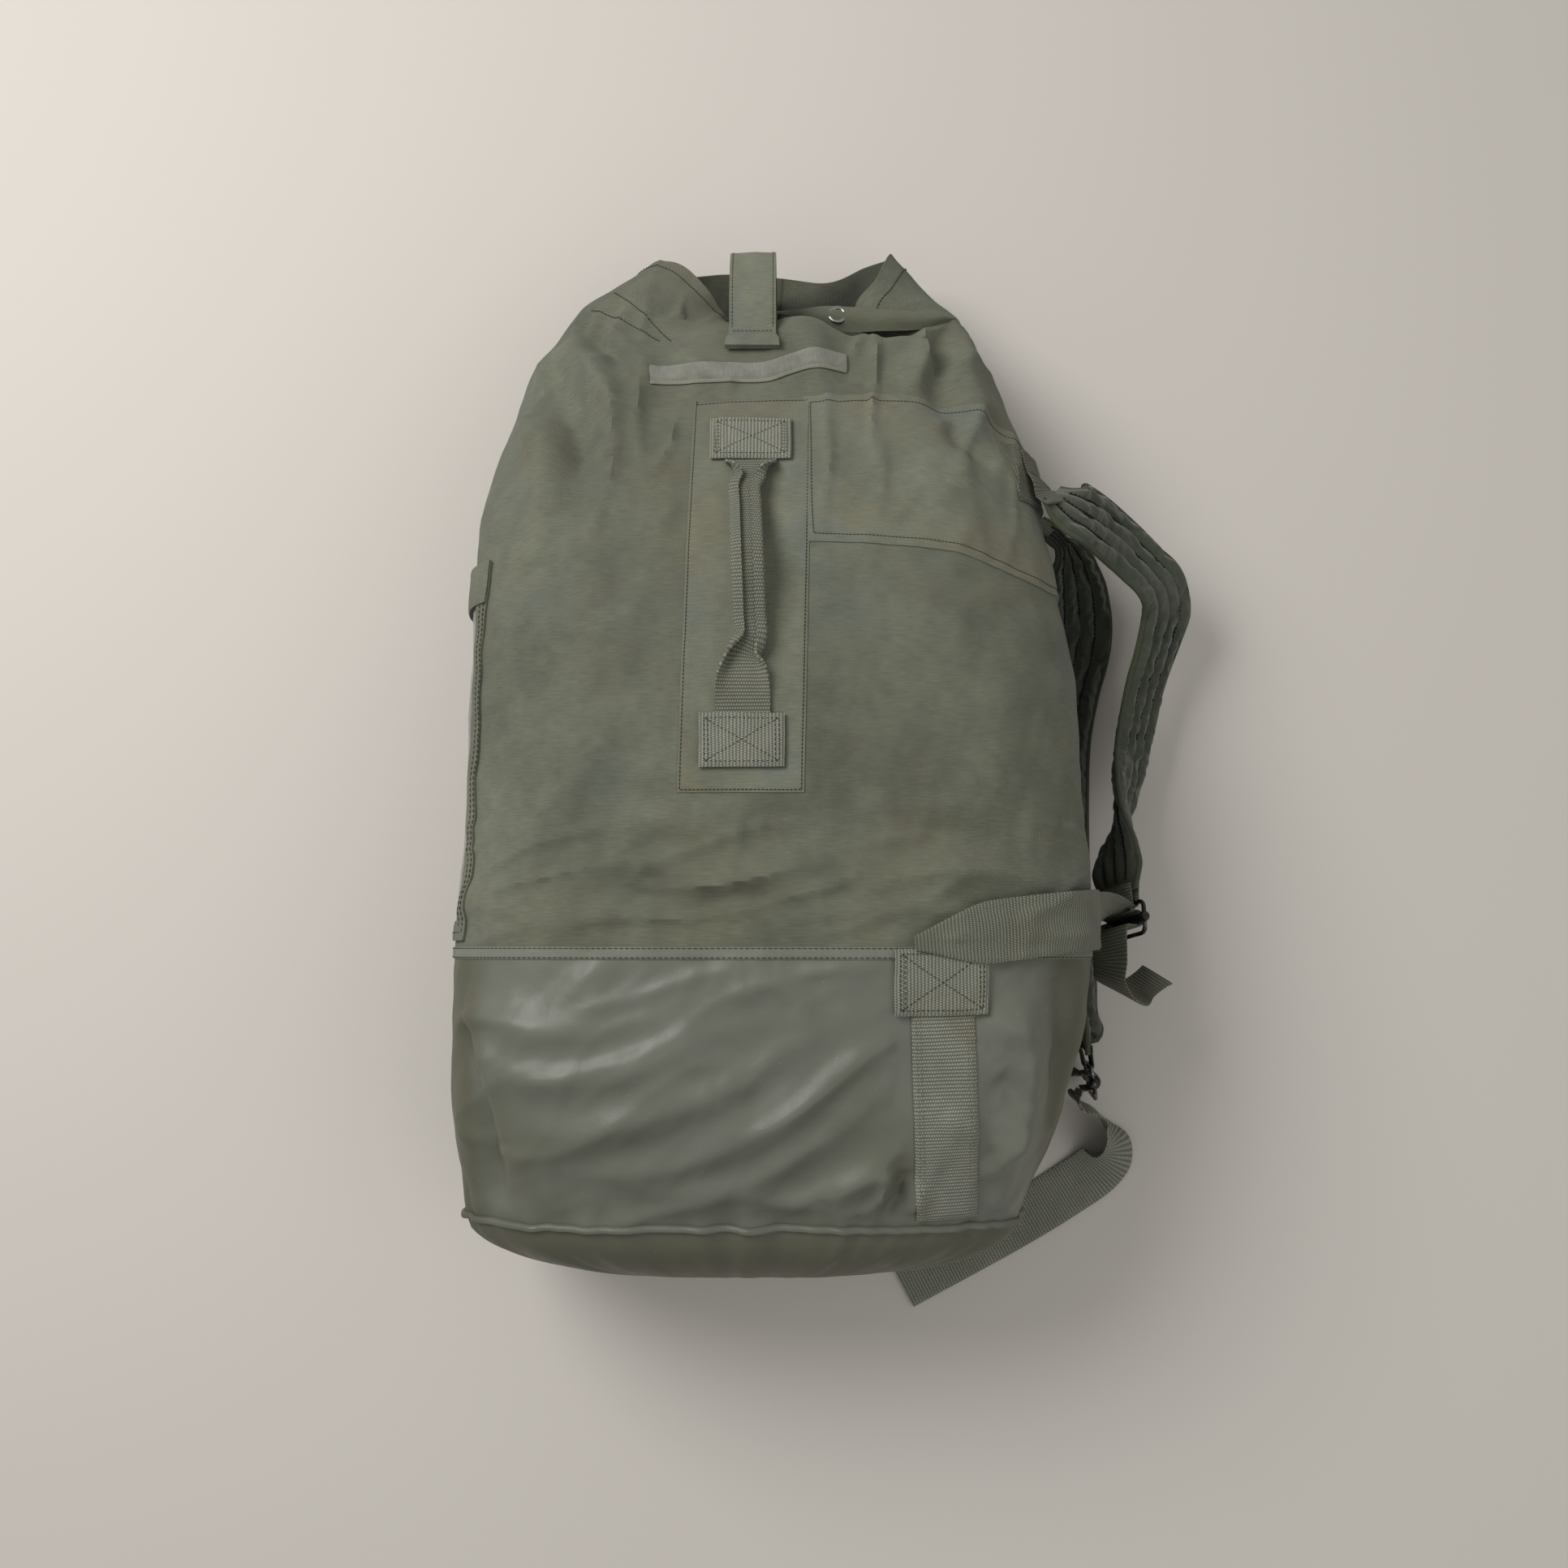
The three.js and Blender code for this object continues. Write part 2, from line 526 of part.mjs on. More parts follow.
function handleGrip() {
  const chord = gripEnds[1].clone().sub(gripEnds[0]);
  const up = V(1, 0, 0).cross(chord).normalize();
  const frames = steps(0, 1, 16).map((u) => {
    const at = gripEnds[0].clone().addScaledVector(chord, u)
      .addScaledVector(up, handle.rise * Math.sin(Math.PI * u) ** 2);
    const slope = (handle.rise * Math.PI * Math.sin(2 * Math.PI * u)) / chord.length();
    const forward = chord.clone().normalize().addScaledVector(up, slope).normalize();
    const across = V(1, 0, 0).addScaledVector(forward, -forward.x).normalize();
    return { at, across, face: across.clone().cross(forward) };
  });
  const [w, t, bevel] = [handle.foldedWidth / 2, handle.foldedThickness / 2, 1.5];
  const slit = 0.6; // half the width of the slit between the two turned edges
  const profile = [
    [-w, -t + bevel], [-w + bevel, -t], [w - bevel, -t], [w, -t + bevel], [w, t - bevel], [w - bevel, t],
    [slit, t], [slit, 0], [-slit, 0], [-slit, t], [-w + bevel, t], [-w, t - bevel],
  ].map(([x, y]) => new THREE.Vector2(x, y));
  return sweep(frames, profile);
}

const nameTapeTop = walk(collarSeam, -nameTape.fromCollarSeam);
const nameTapeCloth = () => patch({
  s: [-nameTape.length * 0.56, nameTape.length * 0.44],
  y: [walk(nameTapeTop, -nameTape.width), nameTapeTop], thickness: nameTape.thickness,
});

// The patch that carries the straps runs from beside the handle, round the strap side, to the same place below.
const sidePatchCloth = () => sewn(
  evenGrid(sidePatchTop - sidePatch.length, sidePatchTop,
    (y) => [sidePatch.nearEdge, 2 * sideLength(y) - sidePatch.nearEdge], 14), gap, sidePatch.thickness);

// ---- Window pocket on the far side ------------------------------------------------------------------

const pocketBottom = bootTop + windowPocket.fromHem;
const pocketTop = pocketBottom + windowPocket.length;
const pocketGrid = (y0, y1, inset) => evenGrid(y0 + inset, y1 - inset, (y) => {
  const reach = windowPocket.width / 2 - inset;
  return [-sideLength(y, -1) - reach, -sideLength(y, -1) + reach];
}, 4);
const filmOut = gap;
const frameOut = filmOut + windowPocket.film + gap;
const flapOut = frameOut + windowPocket.cloth + gap;
const windowFilm = () => sewn(pocketGrid(pocketBottom, pocketTop, windowPocket.border / 3), filmOut, windowPocket.film);
const windowFrame = () => cut(sewn(pocketGrid(pocketBottom, pocketTop, 0), frameOut, windowPocket.cloth),
  prism(pocketGrid(pocketBottom, pocketTop, windowPocket.border), frameOut));
const windowFlap = () => sewn(pocketGrid(pocketTop - windowPocket.flap, pocketTop, 0), flapOut, windowPocket.cloth);

// ---- Shoulder straps --------------------------------------------------------------------------------

const yokeTop = collarSeam - yoke.fromCollarSeam;
const yokeBottom = yokeTop - yoke.length;
const overSidePatch = 2 * gap + sidePatch.thickness;
const overYoke = overSidePatch + yoke.thickness + gap;
const padEndWidth = web.width - 4;
const strapYoke = () => sewn(evenGrid(yokeBottom, yokeTop,
  (y) => [sideLength(y) - yoke.width / 2, sideLength(y) + yoke.width / 2], 4), overSidePatch, yoke.thickness);

// One strap is on the handle side of the yoke, and the other on the floor side. A pad's keys are [out from the
// bag's widest, share of the way from the yoke to the buckle, height], each with the way across to its outer
// edge. A tail's keys are set off from its buckle.
const straps = {
  right: {
    side: -1,
    buckle: { out: 39, y: bootTop + 24, z: 102, across: [-0.48, -0.18, -0.86], down: [0, -0.98, 0.2] },
    leave: { y: bootTop + 26, fromSide: -26, across: -1 },
    pad: [
      [[37, 0.036, 115], [0.4, 0.5, -0.77]],
      [[80, 0.135, 88], [0.65, 0.55, -0.52]],
      [[89, 0.185, 78], [0.8, 0.3, -0.52]],
      [[85, 0.27, 67], [0.75, 0.2, -0.62]],
      [[74, 0.38, 60], [0.68, 0.2, -0.7]],
      [[58, 0.58, 64], [0.6, 0.18, -0.78]],
      [[46, 0.72, 80], [0.3, 0.05, -0.95]],
    ],
    tail: [
      [[-12, -32, 12], [-0.43, -0.15, -0.89]],
      [[-12, -46, 10], [-0.34, -0.04, -0.94]],
      [[-4, -55, 3], [-0.21, 0.16, -0.96]],
      [[10, -56, -10], [0, 0.45, -0.88]],
      [[32, -42, -14], [0, 0.5, -0.86]],
    ],
  },
  left: {
    side: 1,
    buckle: { out: 23, y: bootTop - 107, z: 42, across: [0.1, 0.02, -0.99], down: [0.14, -0.99, 0] },
    leave: { y: bootTop - 84, fromSide: -144.3388, across: 1 },
    pad: [
      [[20, 0.09, 40], [0.7, 0.35, -0.62]],
      [[24, 0.176, 22], [0.95, 0.1, -0.3]],
      [[17, 0.24, 14], [0.97, -0.1, -0.12]],
      [[6, 0.35, 10], [1, 0, -0.04]],
      [[2, 0.5, 9], [1, 0, 0]],
      [[2, 0.657, 10], [1, 0, 0]],
      [[6, 0.81, 18], [0.97, 0, -0.2]],
      [[14, 0.9, 31], [0.6, 0, -0.8]],
    ],
    tail: [
      [[9, -31, -14], [0.1, 0, -0.99]],
      [[17, -46, -18], [0.35, -0.2, -0.9]],
      [[21, -64, -26], [0.75, -0.45, -0.5]],
      [[10, -80, -36], [0.6, -0.8, -0.08]],
      [[-16, -98, -39.5], [0.48, -0.87, 0]],
      [[-60, -124, -39.5], [0.48, -0.87, 0]],
      [[-158, -176, -39.5], [0.48, -0.87, 0]],
    ],
  },
};

const vec = (a) => V(...a);
const buckleCentre = ({ buckle: b }) => V(bag.width / 2 + b.out, b.y, b.z);

// The buckle's own axes: X along its bar to the outer edge, Y towards the pad, and Z away from the bag.
function buckleMatrix(strap) {
  const x = vec(strap.buckle.across).normalize();
  const y = vec(strap.buckle.down).negate();
  y.addScaledVector(x, -y.dot(x)).normalize();
  return new THREE.Matrix4().makeBasis(x, y, x.clone().cross(y)).setPosition(buckleCentre(strap));
}
const inBuckle = (strap, x, y, z) => V(x, y, z).applyMatrix4(buckleMatrix(strap));
const buckleX = (strap) => vec(strap.buckle.across).normalize();

// A strap's sewn top: flat over the yoke, then off the bag to the place where the pad takes over.
const rootY = [yokeBottom + 28, yokeTop - 6];
const rootS = (strap, y) => sideLength(y) + (strap.side * pad.apart) / 2;
const onYoke = (strap, before, out) => onBag(rootY[0] - before, rootS(strap, rootY[0]), overYoke + out);
// The root peels off the yoke through these places: [before its sewn end, out from the yoke].
const peelPath = [[0, web.thickness / 2], [5, web.thickness / 2 + 0.8], [12, web.thickness / 2 + 4]];
const padAt = [24, 19];
const padFrom = [10, 4]; // the pad starts in line with this place
const padStart = (strap) => onYoke(strap, ...padAt);
const roundCloth = (y, s) => onBag(y, s + 4).sub(onBag(y, s - 4)).normalize();
const padKeys = (strap) => strap.pad.map(([[out, share, z], across]) => ({
  at: V(bag.width / 2 + out, lerp(yokeBottom, strap.buckle.y, share), z), across: vec(across) }));
const rootAcross = (strap) => roundCloth(rootY[0], rootS(strap, rootY[0]));
const rootForward = (strap) => padStart(strap).sub(onYoke(strap, ...padFrom)).normalize();

function strapRoot(strap) {
  const flat = sewn(evenGrid(rootY[0] - 2, rootY[1], (y) =>
    [rootS(strap, y) - padEndWidth / 2, rootS(strap, y) + padEndWidth / 2], 3), overYoke, web.thickness);
  const keys = [...peelPath.map((place) => onYoke(strap, ...place)),
    padStart(strap).addScaledVector(rootForward(strap), -2 * gap)]
    .map((at) => ({ at, across: rootAcross(strap) }));
  return cut(join(flat, strip(along(keys, 8), padEndWidth - 0.2, web.thickness - 0.2)), layer(0, overYoke));
}

// The quilted pad: stuffed channels side by side, tapered to its sewn ends.
const loopLegs = 16; // the pad loop's length past the rail
const padLap = 5; // of the pad's end between the loop's legs
function shoulderPad(strap) {
  const start = [0, 9].map((past) => (
    { at: padStart(strap).addScaledVector(rootForward(strap), past), across: rootAcross(strap) }));
  const [beforeEnd, end] = [20, -padLap].map((past) => ({
    at: inBuckle(strap, 0, buckle.railApart / 2 + loopLegs + past, 0), across: buckleX(strap) }));
  const columns = steps(0, 1, pad.channels * 2);
  const frames = along([...start, ...padKeys(strap), beforeEnd, end], 20);
  const face = (side) => frames.map((f) => columns.map((c) => {
    const fromEnd = THREE.MathUtils.smoothstep(Math.min(f.u, 1 - f.u), 0, 0.07);
    const width = lerp(padEndWidth, pad.width, fromEnd);
    const stuffed = Math.abs(Math.sin(Math.PI * pad.channels * c)) ** 0.8;
    const thickness = pad.edge + (pad.thickness - pad.edge) * stuffed * fromEnd;
    return offset(f, (c - 0.5) * width, (side * thickness) / 2);
  }));
  return sheet(face(1), face(-1));
}

// The loop on the end of the pad that holds the buckle's near rail. Its legs lie on both faces of the pad.
function padLoop(strap) {
  const thickness = loopThickness;
  const turn = buckle.rod + gap + thickness / 2;
  const rail = buckle.railApart / 2;
  const leg = [[loopLegs, turn + 1.4], [loopLegs / 2, turn + 0.4], [0, turn]];
  const bend = steps(0, Math.PI, 6).slice(1, -1);
  const path = [
    ...leg.map(([y, z]) => [rail + y, z]),
    ...bend.map((a) => [rail - turn * Math.sin(a), turn * Math.cos(a)]),
    ...leg.map(([y, z]) => [rail + y, -z]).reverse(),
  ];
  const keys = path.map(([y, z]) => ({ at: inBuckle(strap, 0, y, z), across: buckleX(strap) }));
  return strip(along(keys, 20), padEndWidth - 4, thickness);
}

// A rod bent into a rectangle with round corners.
function buckleFrame() {
  const [w, h, r] = [buckle.railHalf, buckle.railApart / 2, 4.5];
  const corners = [[1, 1], [-1, 1], [-1, -1], [1, -1]].flatMap(([sx, sy], quarter) =>
    steps(quarter, quarter + 1, 3).map((q) => V(
      sx * (w - r) + r * Math.cos((q * Math.PI) / 2), sy * (h - r) + r * Math.sin((q * Math.PI) / 2), 0)));
  const frames = corners.map((at, k) => {
    const forward = corners[(k + 1) % corners.length].clone().sub(corners.at(k - 1)).normalize();
    const face = V(0, 0, 1);
    return { at, across: forward.clone().cross(face), face };
  });
  return sweep(frames, circle(buckle.rod, 8), true);
}

// The bar slides on the side rods, which pass through the knob at each of its ends.
function slideBar() {
  const w = buckle.railHalf;
  const rod = new THREE.CylinderGeometry(buckle.bar, buckle.bar, 2 * w, 8).rotateZ(Math.PI / 2);
  const knobs = [-w, w].map((x) =>
    new THREE.SphereGeometry(buckle.knob, 8, 6).rotateZ(Math.PI / 2).translate(x, 0, 0));
  const radius = buckle.rod + gap;
  const bores = [-w, w].map((x) => new THREE.CylinderGeometry(radius, radius, 4 * buckle.knob, 8).translate(x, 0, 0));
  return cut(join(rod, ...knobs), ...bores);
}

// The base strap and the anchor patch are sewn on the handle face for the right strap and under the bag for
// the left one. Their lengths round are counted from the middle of that face.
const fromMiddle = (strap, y, s) => (strap.side < 0 ? s : halfGirth(y) - s);
const faceGrid = (strap, y0, y1, round, columns) => evenGrid(y0, y1,
  (y) => round(y).map((s) => fromMiddle(strap, y, s)).sort((a, b) => a - b), columns);
const anchorMiddle = lowerAnchor.fromMiddle + lowerAnchor.length / 2;
const baseStrapLean = 17; // the strap runs straight while the bag narrows to its base
const baseStrap = (strap) => sewn(faceGrid(strap, baseSeam + piping.radius + 2 * gap, bootTop - hem.width / 2 - gap,
  (y) => {
    const s = anchorMiddle + (baseStrapLean * (bootTop - y)) / bag.bootLength;
    return [s - web.width / 2, s + web.width / 2];
  }, 1), gap, web.thickness);
const overBaseStrap = 2 * gap + web.thickness;
const anchorPatch = (strap) => sewn(faceGrid(strap, bootTop + lowerAnchor.lap - web.width, bootTop + lowerAnchor.lap,
  () => [lowerAnchor.fromMiddle, lowerAnchor.fromMiddle + lowerAnchor.length], 2), overBaseStrap, web.thickness);

// The adjusting webbing's path on the bag, from the anchor to where it leaves the cloth. Its lengths round are
// counted from the middle of the face that it is sewn to.
const overAnchor = overBaseStrap + web.thickness + gap;
function adjusterPath(strap) {
  const onTop = strap.side < 0;
  const y0 = bootTop + (onTop ? 7 : -24);
  const toSide = onTop ? sideLength(strap.leave.y) : halfGirth(strap.leave.y) - sideLength(strap.leave.y);
  const s1 = toSide + strap.leave.fromSide;
  return (u) => [lerp(lowerAnchor.fromMiddle + 20, s1, u), lerp(y0, strap.leave.y, Math.sin((u * Math.PI) / 2))];
}
function adjusterOnBag(strap) {
  const path = adjusterPath(strap);
  const grid = steps(0, 1, 7).map((u) => {
    const [s, y] = path(u);
    const [before, after] = [path(u - 0.02), path(u + 0.02)];
    const alongPath = new THREE.Vector2(after[0] - before[0], after[1] - before[1]).normalize();
    const width = lerp(9, web.width, THREE.MathUtils.smoothstep(u, 0, strap.side < 0 ? 0.3 : 0.2));
    return steps(-width / 2, width / 2, 2).map((w) => {
      const place = y + w * alongPath.x;
      return [fromMiddle(strap, place, s - w * alongPath.y), place];
    });
  });
  return sewn(grid, overAnchor, web.thickness);
}

// From there it goes to the buckle, in through the slot by the pad, round the slide bar and out by the other.
const turnRadius = buckle.bar + slack + web.thickness / 2;
const peel = 1.6; // the free webbing starts this much off the sewn stretch
function adjusterStart(strap) {
  const [s, y] = adjusterPath(strap)(1);
  const out = overAnchor + web.thickness / 2 + peel;
  const at = (round, place) => onBag(place, fromMiddle(strap, place, round), out);
  const across = at(s, y + 15).sub(at(s, y - 15)).normalize().multiplyScalar(strap.leave.across);
  const forward = at(s + 4, y).sub(at(s - 4, y));
  forward.addScaledVector(across, -forward.dot(across)).normalize();
  return { at: at(s, y).addScaledVector(forward, gap + 0.6), forward, across };
}
function adjusterToBuckle(strap) {
  const { at, forward, across } = adjusterStart(strap);
  const legs = [-9, -5]; // both legs of the turn reach this far from the slide bar
  const turn = [
    ...legs.map((z) => [turnRadius, z]),
    ...steps(0, Math.PI, 6).map((a) => [turnRadius * Math.cos(a), turnRadius * Math.sin(a)]),
    ...legs.map((z) => [-turnRadius, z]).reverse(),
  ].map(([y, z]) => ({ at: inBuckle(strap, 0, y, z), across: buckleX(strap) }));
  const keys = [{ at, across }, { at: at.clone().addScaledVector(forward, 10), across }, ...turn];
  return strip(along(keys, 36), web.width, web.thickness);
}

// The tail leaves the turn through these places: [past the turn, away from the slide bar].
const tailTurn = [[0, -9.8], [-0.1, -11.4], [-3, -13.4], [-9, -13.8]];
function webTail(strap) {
  const keys = [
    ...tailTurn.map(([past, away]) => ({ at: inBuckle(strap, 0, past - turnRadius, away), across: buckleX(strap) })),
    ...strap.tail.map(([away, across]) => ({ at: buckleCentre(strap).add(vec(away)), across: vec(across) })),
  ];
  return strip(along(keys, 28), web.width, web.thickness);
}

// ---- Assembly ---------------------------------------------------------------------------------------

const group = new THREE.Group();
function add(name, geometry, look, matrix) {
  const mesh = new THREE.Mesh(geometry, look);
  mesh.name = name;
  if (matrix) mesh.applyMatrix4(matrix);
  group.add(mesh);
}

add("boot", tube(bootRows), coated);
add("base_panel", basePanel(), coated);
add("base_piping", basePiping(), coated);
add("boot_hem", bootHem(), coated);
add("canvas_body", tube(bodyRows), canvas);
add("collar", collarShell(), canvas);
eyeletAngles.forEach((a, k) => add(`eyelet_${k + 1}`, eyeletGeometry(), brightMetal, eyeletPlace(a)));
add("tab_root", tabRoot(), canvas);
add("closure_tab", closureTab(), canvas);
add("name_tape", nameTapeCloth(), loopTape);
add("handle_panel", handlePanelCloth(), canvas);
add("handle_anchor_lower", handleAnchor(handleY0, handleY1), webbing);
add("handle_anchor_upper", handleAnchor(handleY2, handleY3), webbing);
add("handle_root_lower", handleRoot(handleY0 + 6, handleY1, gripEnds[0]), webbing);
add("handle_root_upper", handleRoot(handleY3 - 6, handleY2, gripEnds[1]), webbing);
add("handle_grip", handleGrip(), webbing);
add("strap_side_patch", sidePatchCloth(), canvas);
add("window_film", windowFilm(), film);
add("window_frame", windowFrame(), canvas);
add("window_flap", windowFlap(), canvas);
add("strap_yoke", strapYoke(), webbing);
for (const [name, strap] of Object.entries(straps)) {
  add(`strap_root_${name}`, strapRoot(strap), webbing);
  add(`shoulder_pad_${name}`, shoulderPad(strap), padCloth);
  add(`pad_loop_${name}`, padLoop(strap), webbing);
  add(`buckle_frame_${name}`, buckleFrame(), darkMetal, buckleMatrix(strap));
  add(`slide_bar_${name}`, slideBar(), darkMetal, buckleMatrix(strap));
  add(`base_strap_${name}`, baseStrap(strap), webbing);
  add(`lower_anchor_${name}`, anchorPatch(strap), webbing);
  add(`adjuster_on_bag_${name}`, adjusterOnBag(strap), webbing);
  add(`adjuster_to_buckle_${name}`, adjusterToBuckle(strap), webbing);
  add(`web_tail_${name}`, webTail(strap), webbing);
}

export default group;
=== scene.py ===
"""A filled canvas duffel bag with a coated boot, lying on its back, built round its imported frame."""
import math
import bmesh
import bpy
import numpy as np
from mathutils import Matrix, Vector, noise
from mathutils.bvhtree import BVHTree
from mathutils.kdtree import KDTree


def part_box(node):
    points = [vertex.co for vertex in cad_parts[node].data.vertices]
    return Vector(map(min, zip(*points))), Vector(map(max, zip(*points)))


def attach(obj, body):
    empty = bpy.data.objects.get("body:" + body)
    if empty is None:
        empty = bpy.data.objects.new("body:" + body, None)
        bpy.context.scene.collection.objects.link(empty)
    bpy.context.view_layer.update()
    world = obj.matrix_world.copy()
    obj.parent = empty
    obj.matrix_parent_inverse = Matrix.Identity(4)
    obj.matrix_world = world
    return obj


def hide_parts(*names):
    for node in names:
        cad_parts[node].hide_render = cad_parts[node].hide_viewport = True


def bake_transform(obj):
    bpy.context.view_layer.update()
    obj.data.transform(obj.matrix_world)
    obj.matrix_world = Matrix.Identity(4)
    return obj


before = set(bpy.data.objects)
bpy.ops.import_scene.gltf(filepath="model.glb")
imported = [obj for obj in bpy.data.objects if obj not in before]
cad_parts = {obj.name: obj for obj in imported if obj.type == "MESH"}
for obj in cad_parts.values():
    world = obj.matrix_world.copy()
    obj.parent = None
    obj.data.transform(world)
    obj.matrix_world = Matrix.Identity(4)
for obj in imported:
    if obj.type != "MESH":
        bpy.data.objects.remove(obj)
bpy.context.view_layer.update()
scene = bpy.context.scene
scene.view_settings.view_transform = "Standard"
MM = 0.001

# ---- Camera, floor and light ------------------------------------------------------------------------


def place_camera():
    bpy.ops.object.camera_add(location=(0.010, -0.140, 1.387), rotation=(math.radians(6), 0, 0))
    camera = bpy.context.object
    camera.data.lens = camera.data.sensor_width = 36
    scene.camera = camera


def place_lamp(name, at, aim, size, watts):
    bpy.ops.object.light_add(type="AREA", location=at)
    lamp = bpy.context.object
    lamp.name = name
    lamp.rotation_euler = (Vector(aim) - Vector(at)).to_track_quat("-Z", "Y").to_euler()
    lamp.data.shape = "DISK"
    lamp.data.size = size
    lamp.data.energy = watts


# ---- Node work --------------------------------------------------------------------------------------


def add_node(tree, kind, settings=None, **sockets):
    """A node with its settings, and each named or numbered socket linked or given its value."""
    made = tree.nodes.new(kind)
    for key, value in (settings or {}).items():
        setattr(made, key, value)
    for key, value in sockets.items():
        numbered = key[0] == "s" and key[1:].isdigit()
        socket = made.inputs[int(key[1:]) if numbered else key.replace("_", " ")]
        if isinstance(value, bpy.types.NodeSocket):
            tree.links.new(value, socket)
        else:
            socket.default_value = value
    return made


def maths(tree, operation, first, second=0.0):
    return add_node(tree, "ShaderNodeMath", {"operation": operation}, s0=first, s1=second).outputs[0]


def plus(tree, first, second):
    return maths(tree, "ADD", first, second)


def times(tree, first, second):
    return maths(tree, "MULTIPLY", first, second)


def object_place(tree):
    return add_node(tree, "ShaderNodeTexCoord").outputs["Object"]


def grainy(tree, place, scale, detail=2.0, roughness=0.5):
    """A noise texture's grey."""
    sockets = {"Vector": place, "Scale": scale, "Detail": detail, "Roughness": roughness}
    return add_node(tree, "ShaderNodeTexNoise", **sockets).outputs[0]


def stretched(tree, place, scale, turn=(0, 0, 0)):
    return add_node(tree, "ShaderNodeMapping", Vector=place, Rotation=turn, Scale=scale).outputs[0]


def grey(tree, level):
    return add_node(tree, "ShaderNodeCombineColor", s0=level, s1=level, s2=level).outputs[0]


def mixed(tree, share, first, second, blend="MIX"):
    settings = {"data_type": "RGBA", "blend_type": blend}
    return add_node(tree, "ShaderNodeMix", settings, s0=share, s6=first, s7=second).outputs[2]


def between(tree, value, low, high):
    """0 where value is under low, 1 over high, smooth between."""
    smooth = {"interpolation_type": "SMOOTHSTEP"}
    return add_node(tree, "ShaderNodeMapRange", smooth, s0=value, s1=low, s2=high).outputs[0]


def effect(name, takes, gives):
    """A shader node group with named inputs and outputs."""
    tree = bpy.data.node_groups.new(name, "ShaderNodeTree")
    for label, kind, value in takes:
        socket = tree.interface.new_socket(label, in_out="INPUT", socket_type=kind)
        if value is not None:
            socket.default_value = value
    for label, kind in gives:
        tree.interface.new_socket(label, in_out="OUTPUT", socket_type=kind)
    return tree, tree.nodes.new("NodeGroupInput").outputs, tree.nodes.new("NodeGroupOutput").inputs


NUMBER, COLOUR, PLACE = "NodeSocketFloat", "NodeSocketColor", "NodeSocketVector"


def mottle_effect():
    """Cloth that has faded unevenly: broad pale and dark clouds, and two stains of their own colours."""
    tree, takes, gives = effect("uneven fading", [
        ("Cloth", COLOUR, None), ("Warm stain", COLOUR, None), ("Cool stain", COLOUR, None),
        ("Stains", NUMBER, 0.5), ("Clouds", NUMBER, 0.5), ("Size", NUMBER, 9.0)], [("Color", COLOUR)])
    place = object_place(tree)

    def cloud(scale, detail, shift):
        moved = add_node(tree, "ShaderNodeMapping", Vector=place,
                         Location=(shift, -shift, shift * 0.5)).outputs[0]
        return grainy(tree, moved, scale, detail, 0.6)
    broad = cloud(takes["Size"], 4, 0.3)
    fine = cloud(times(tree, takes["Size"], 7), 5, 1.3)
    warm = times(tree, between(tree, cloud(takes["Size"], 3, 2.1), 0.5, 0.68), takes["Stains"])
    cool = times(tree, between(tree, cloud(takes["Size"], 3, 4.7), 0.5, 0.66), takes["Stains"])
    shade = plus(tree, times(tree, maths(tree, "SUBTRACT", broad, 0.5), 1.3),
                 times(tree, maths(tree, "SUBTRACT", fine, 0.5), 0.55))
    bright = plus(tree, 1.0, times(tree, shade, takes["Clouds"]))
    shaded = mixed(tree, 1.0, takes["Cloth"], grey(tree, bright), "MULTIPLY")
    stained = mixed(tree, cool, mixed(tree, warm, shaded, takes["Warm stain"]), takes["Cool stain"])
    tree.links.new(stained, gives["Color"])
    return tree


def weave_effect():
    """Fine diagonal twill over the cloth's own flat map in metres."""
    tree, takes, gives = effect("woven threads", [
        ("Map", PLACE, None), ("Pitch", NUMBER, 0.0016)], [("Height", NUMBER), ("Shade", NUMBER)])
    parts = add_node(tree, "ShaderNodeSeparateXYZ", s0=takes["Map"]).outputs
    wobble = grainy(tree, takes["Map"], 160.0)
    turns = maths(tree, "DIVIDE", 2 * math.pi, takes["Pitch"])
    along = plus(tree, parts[0], parts[1])
    twill = maths(tree, "SINE", plus(tree, times(tree, along, turns), times(tree, wobble, 3.5)))
    warp = maths(tree, "SINE", times(tree, parts[0], times(tree, turns, 1.7)))
    height = plus(tree, times(tree, twill, 0.35), times(tree, warp, 0.15))
    slub = grainy(tree, stretched(tree, takes["Map"], (90, 900, 1)), 1.0)
    tree.links.new(plus(tree, height, 0.5), gives["Height"])
    tree.links.new(plus(tree, times(tree, height, 0.5), slub), gives["Shade"])
    return tree


def rib_effect():
    """Webbing's ribs across its length, with a finer thread the other way."""
    tree, takes, gives = effect("webbing ribs", [
        ("Map", PLACE, None), ("Pitch", NUMBER, 0.003)], [("Height", NUMBER), ("Shade", NUMBER)])
    parts = add_node(tree, "ShaderNodeSeparateXYZ", s0=takes["Map"]).outputs
    turns = maths(tree, "DIVIDE", 2 * math.pi, takes["Pitch"])
    wobble = grainy(tree, takes["Map"], 300.0)
    rib = maths(tree, "SINE", plus(tree, times(tree, parts[1], turns), times(tree, wobble, 1.6)))
    row = maths(tree, "FLOOR", plus(tree, maths(tree, "DIVIDE", parts[1], takes["Pitch"]), 0.25))
    along = plus(tree, times(tree, parts[0], times(tree, turns, 1.4)), times(tree, row, math.pi))
    crossed = times(tree, maths(tree, "SINE", along), 0.4)
    height = plus(tree, times(tree, rib, 0.5), crossed)
    tree.links.new(height, gives["Height"])
    tree.links.new(plus(tree, 0.5, times(tree, height, 0.7)), gives["Shade"])
    return tree


MOTTLE, WEAVE, RIBS = mottle_effect(), weave_effect(), rib_effect()


def srgb(*levels):
    """The colour of a swatch read as 0 to 255 levels."""
    return tuple(((c / 255 + 0.055) / 1.055) ** 2.4 if c > 10 else c / 255 / 12.92 for c in levels) + (1.0,)


